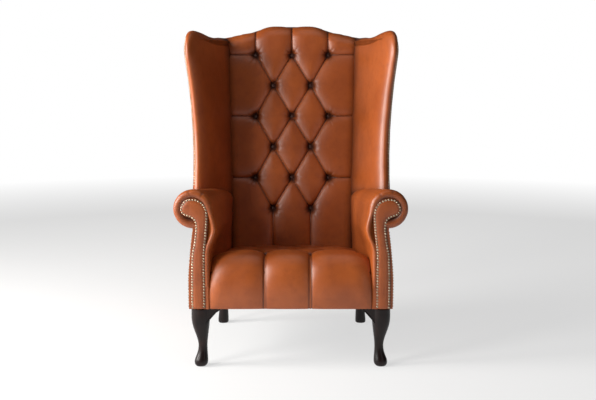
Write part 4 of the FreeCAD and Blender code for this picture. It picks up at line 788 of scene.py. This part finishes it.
def distance(x, z, line):
    """How far a point lies from a crease line, and on which side of it."""
    (x0, z0), (x1, z1) = line
    run_x, run_z = x1 - x0, z1 - z0
    length = run_x * run_x + run_z * run_z
    share = max(0.0, min(1.0, ((x - x0) * run_x + (z - z0) * run_z) / length))
    off_x, off_z = x - x0 - share * run_x, z - z0 - share * run_z
    upper = 1.0 if abs(run_x) < 0.01 or off_z > 0 else -1.0
    return math.hypot(off_x, off_z), upper


def buttoned(x, z, lines, spots, fold_sink):
    """How far a point of a buttoned layer is drawn in, and its painted shade in the grooves and round the
    buttons.
    """
    found = [distance(x, z, line) for line in lines]
    near, upper = min(found, key=lambda pair: pair[0])
    soft = near - ROUNDING * math.log(sum(math.exp((near - pair[0]) / ROUNDING) for pair in found))
    spot = min(spots, key=lambda at: math.hypot(x - at[0], z - at[1]))
    to_button = math.hypot(x - spot[0], z - spot[1])
    deep = fold_sink + (BUTTON_SINK - fold_sink) * math.exp(-(to_button / BUTTON_PULL) ** 2)
    reach = PUFF * (0.92 if upper > 0 else 1.0)
    rest = 1.0 - max(0.0, min(1.0, soft / reach))
    sink = deep * (1.0 - math.sqrt(max(0.0, 1.0 - rest ** 1.9)))
    turn = math.atan2(z - spot[1], x - spot[0])
    pucker = math.sin(9 * turn + 40 * spot[0]) + 0.6 * math.sin(17 * turn + 60 * spot[1])
    sink += PUCKER * pucker * math.exp(-((to_button - 0.020) / 0.016) ** 2)
    groove = math.exp(-(near / GROOVE) ** 2)
    pit = math.exp(-(to_button / 0.0145) ** 2)
    sink += 0.0025 * groove + 0.008 * pit
    # Painted shade: darker in the grooves, in the button pits and round each button.
    return sink, min(1.0, 0.85 * groove + 1.2 * pit + 0.4 * math.exp(-(to_button / 0.026) ** 2))


def rounded(point):
    """A point as a key that is the same before and after the mesh stores it."""
    return tuple(round(part, 5) for part in point)


def paint_ring_shade(piece, rings, shading):
    """Paints shade on a form by the amounts that belong to the points of its rings."""
    found = {rounded(point): shade_amount for ring, row in zip(rings, shading) for point, shade_amount in zip(ring, row)}
    paint_shade(piece, lambda point: found.get(rounded(point), 0.0))


def crest_height(x):
    """The line of the crest: flat in the middle, an S curve, then nearly level."""
    reach = abs(x)
    share = max(0.0, min(1.0, (reach - 0.070) / 0.150))
    step = share * share * (3 - 2 * share)
    return 1.262 - 0.034 * step - 0.013 * max(0.0, reach - 0.200) / 0.070


def back_level(kind, share, start, peak):
    """A level's height, how far back it is set, and how far its leather faces front and up."""
    if kind == "face":
        return BACK_LOW + (start - BACK_LOW) * share, 0.0, 1.0, 0.0
    if kind == "turn":
        return (start + CREST_TURN * math.sin(share), CREST_TURN * (1 - math.cos(share)),
                math.cos(share), math.sin(share))
    return peak, CREST_TURN + CREST_DEPTH * share, 0.0, 1.0


# The levels climb the face, turn over the crest and run back to the post.
BACK_LOW = 0.306
BACK_THICK = 0.0735
SIDE_LAP = 0.010
SIDE_ROLL = 0.045
SIDE_SINK = 0.016
CREST_HALF = 0.27
CREST_TURN = 0.045
CREST_DEPTH = 0.058
TURN_LENGTH = 1.6
back_lines = creases(ROWS, ROW_LOW, ROW_RISE, CLOSE, WIDE, BACK_EDGE, 0.300, 1.300)
back_spots = [(x, ROW_LOW + row * ROW_RISE) for row in range(ROWS) for x in button_row(row, CLOSE, WIDE)]
COLUMNS = 186
FACE_ROWS = 280
CREST_ROWS = 20
levels = [("face", k / FACE_ROWS) for k in range(FACE_ROWS + 1)]
levels += [("turn", math.radians(90.0 * k / CREST_ROWS)) for k in range(1, CREST_ROWS + 1)]
levels += [("over", 0.5), ("over", 1.0)]
rings = []
back_shade = []
for kind, share in levels:
    ring = []
    shading = []
    for k in range(COLUMNS + 1):
        across = 2 * k / COLUMNS - 1
        peak = crest_height(across * CREST_HALF)
        start = peak - CREST_TURN
        z, set_back, lean, facing_up = back_level(kind, share, start, peak)
        x = across * (back_half(z) + SIDE_LAP)
        along = z if kind == "face" else start + CREST_TURN * (share if kind == "turn" else TURN_LENGTH)
        sink, shade_amount = buttoned(x, along, back_lines, back_spots, FOLD_SINK)
        near_side = max(0.0, 1.0 - (back_half(z) + SIDE_LAP - abs(x)) / SIDE_ROLL)
        sink += SIDE_SINK * (1 - math.sqrt(max(0.0, 1 - near_side ** 2)))
        fade = 1.0 if kind != "over" else 1.0 - share
        ring.append((x, back_face(z, set_back) + sink * lean * fade, z - sink * facing_up * fade * 0.7))
        # Painted shade in the grooves and pits, and darker towards the sides where the back rolls in.
        shading.append(max(shade_amount * fade, 0.9 * near_side ** 3))
    behind = max(back_face(ring[0][2], BACK_THICK), max(point[1] for point in ring) + 0.002)
    ring.append((ring[-2][0], behind, ring[-1][2] - 0.001))
    ring.append((ring[1][0], behind, ring[0][2] - 0.001))
    rings.append(ring)
    back_shade.append(shading)
piece = mesh_piece("inside_back", rings)
paint_ring_shade(piece, rings, back_shade)
new_piece("inside_back_cover", hide.material, "leather", "inside_back", "back_foam")

# Buttons: metal shells covered in the same leather, with a loop at the back. The twine
# that is tied to the loop pulls the button down towards the webbing.
button = dome(24, 12, 0.0095, -0.003, 0.55)
facing_out = (0.0, -1.0, RAKE)
spots = [((x, back_face(z, BUTTON_SINK + 0.007), z), facing_out) for x, z in back_spots]
piece = copies(button, spots, "buttons")
# Painted shade: the buttons are painted at full shade, near-black, as if in shadow in their pits.
paint_shade(piece, lambda point: 1.0)
new_piece("back_button_row", hide.material, "leather", "back_buttons")

# Seat: a sprung, buttoned pad whose leather rolls over the front rail in three broad
# bumps, with a double pleat between them, and is tacked under the rail.
SEAT_SLOPE = math.tan(math.radians(8.4))
SEAT_SHIFT = -0.012
SEAT_CLOSE = 0.083
SEAT_WIDE = 0.166
SEAT_CREST = 0.076
SEAT_HIGH = 0.424
SEAT_ROWS = 4
SEAT_FIRST = 0.140
SEAT_PITCH = 0.130
SEAT_FOLD_SINK = 0.017
SEAT_PLEATS = (-0.095, 0.071)
PLEAT_REACH = 0.075
PLEAT_SINK = 0.024
PLEAT_LINES = (-0.0045, 0.0045)
SEAT_HALF = 0.292
SEAT_TAPER = 0.040
SEAT_LAP = 0.008
SEAT_WIDEST = 0.297
seat_lines = creases(SEAT_ROWS, SEAT_FIRST, SEAT_PITCH, SEAT_CLOSE, SEAT_WIDE, 0.300, -0.400, 0.640,
                     SEAT_SHIFT)
seat_spots = [(x, SEAT_FIRST + row * SEAT_PITCH) for row in range(SEAT_ROWS)
              for x in button_row(row, SEAT_CLOSE, SEAT_WIDE, SEAT_SHIFT)]
profile = through([(0.000, RAIL_LOW), (-0.006, 0.238), (-0.0125, 0.275), (-0.011, 0.315), (-0.002, 0.352),
                   (0.016, 0.386), (0.042, 0.411), (SEAT_CREST, SEAT_HIGH)], 12)
FRONT_ROWS = len(profile) - 1
TOP_ROWS = 131
TOP_STEP = 0.004
SEAT_COLUMNS = 180
profile += [(SEAT_CREST + TOP_STEP * k, SEAT_HIGH - TOP_STEP * k * SEAT_SLOPE * min(1.0, k / 12))
            for k in range(1, TOP_ROWS + 1)]


def pleated(x, front):
    """How far a point of the seat's front is drawn in, and its painted shade in the pleat grooves."""
    sink, shade_amount = 0.0, 0.0
    depth = PLEAT_SINK * (1 - front) ** 0.7 + 0.0025
    for pleat in SEAT_PLEATS:
        rest = max(0.0, 1.0 - abs(x - pleat) / PLEAT_REACH)
        sink = max(sink, depth * (1 - math.sqrt(max(0.0, 1 - rest ** 2.0))))
        for line in PLEAT_LINES:
            groove = math.exp(-((x - pleat - line) / 0.0013) ** 2)
            sink += 0.0022 * groove
            shade_amount = max(shade_amount, 0.75 * groove)
    return sink, shade_amount


rings = []
seat_shade = []
for k, (y, z) in enumerate(profile):
    before = profile[max(k - 1, 0)]
    after = profile[min(k + 1, len(profile) - 1)]
    run = math.dist(before, after)
    out_y, out_z = -(after[1] - before[1]) / run, (after[0] - before[0]) / run
    front = max(0.0, (FRONT_ROWS - k) / FRONT_ROWS)
    half = min(SEAT_WIDEST, SEAT_HALF - SEAT_TAPER * max(0.0, y) / ARM_LENGTH + SEAT_LAP)
    width = 0.125 * (1 - front) + 0.020 * front
    corner = 0.054 * (1 - front) + 0.006 * front
    if y > 0.300:
        corner *= max(0.45, 1.0 - (y - 0.300) / 0.300)
    ring = []
    shading = []
    for column in range(SEAT_COLUMNS + 1):
        x = (2 * column / SEAT_COLUMNS - 1) * half
        if y < SEAT_FIRST:
            sink, shade_amount = pleated(x, front)
        else:
            sink, shade_amount = buttoned(x, y, seat_lines, seat_spots, SEAT_FOLD_SINK)
        rest = max(0.0, 1.0 - (half - abs(x)) / width)
        sink += corner * (1 - math.sqrt(max(0.0, 1 - rest ** 2.2)))
        ring.append((x, FACING_Y + y - out_y * sink, z - out_z * sink))
        # Painted shade in the grooves and pits, and darker along the seat's sides.
        shading.append(max(shade_amount, 0.7 * max(0.0, 1.0 - (half - abs(x)) / 0.010)))
    base = 0.305 if y > 0.014 else max(RAIL_LOW, z - 0.012 - 0.6 * (y + 0.0125))
    rear = FACING_Y + max(y, 0.015)
    ring.append((half - 0.003, rear, min(base, ring[-1][2] - 0.002)))
    ring.append((-half + 0.003, rear, min(base, ring[0][2] - 0.002)))
    rings.append(ring)
    seat_shade.append(shading)
piece = mesh_piece("seat", rings)
paint_ring_shade(piece, rings, seat_shade)
new_piece("seat_cover_leather", hide.material, "leather", "seat_cover", "seat_foam")
spots = []
for x, y in seat_spots:
    height = SEAT_HIGH - (y - SEAT_CREST) * SEAT_SLOPE - BUTTON_SINK + 0.001
    spots.append(((x, FACING_Y + y, height), (0.0, SEAT_SLOPE, 1.0)))
piece = copies(button, spots, "buttons")
# Painted shade: the seat buttons are painted at full shade, near-black, as if in shadow in their pits.
paint_shade(piece, lambda point: 1.0)
new_piece("seat_button_row", hide.material, "leather", "seat_buttons")
for model in (nail, button):
    bpy.data.objects.remove(model)
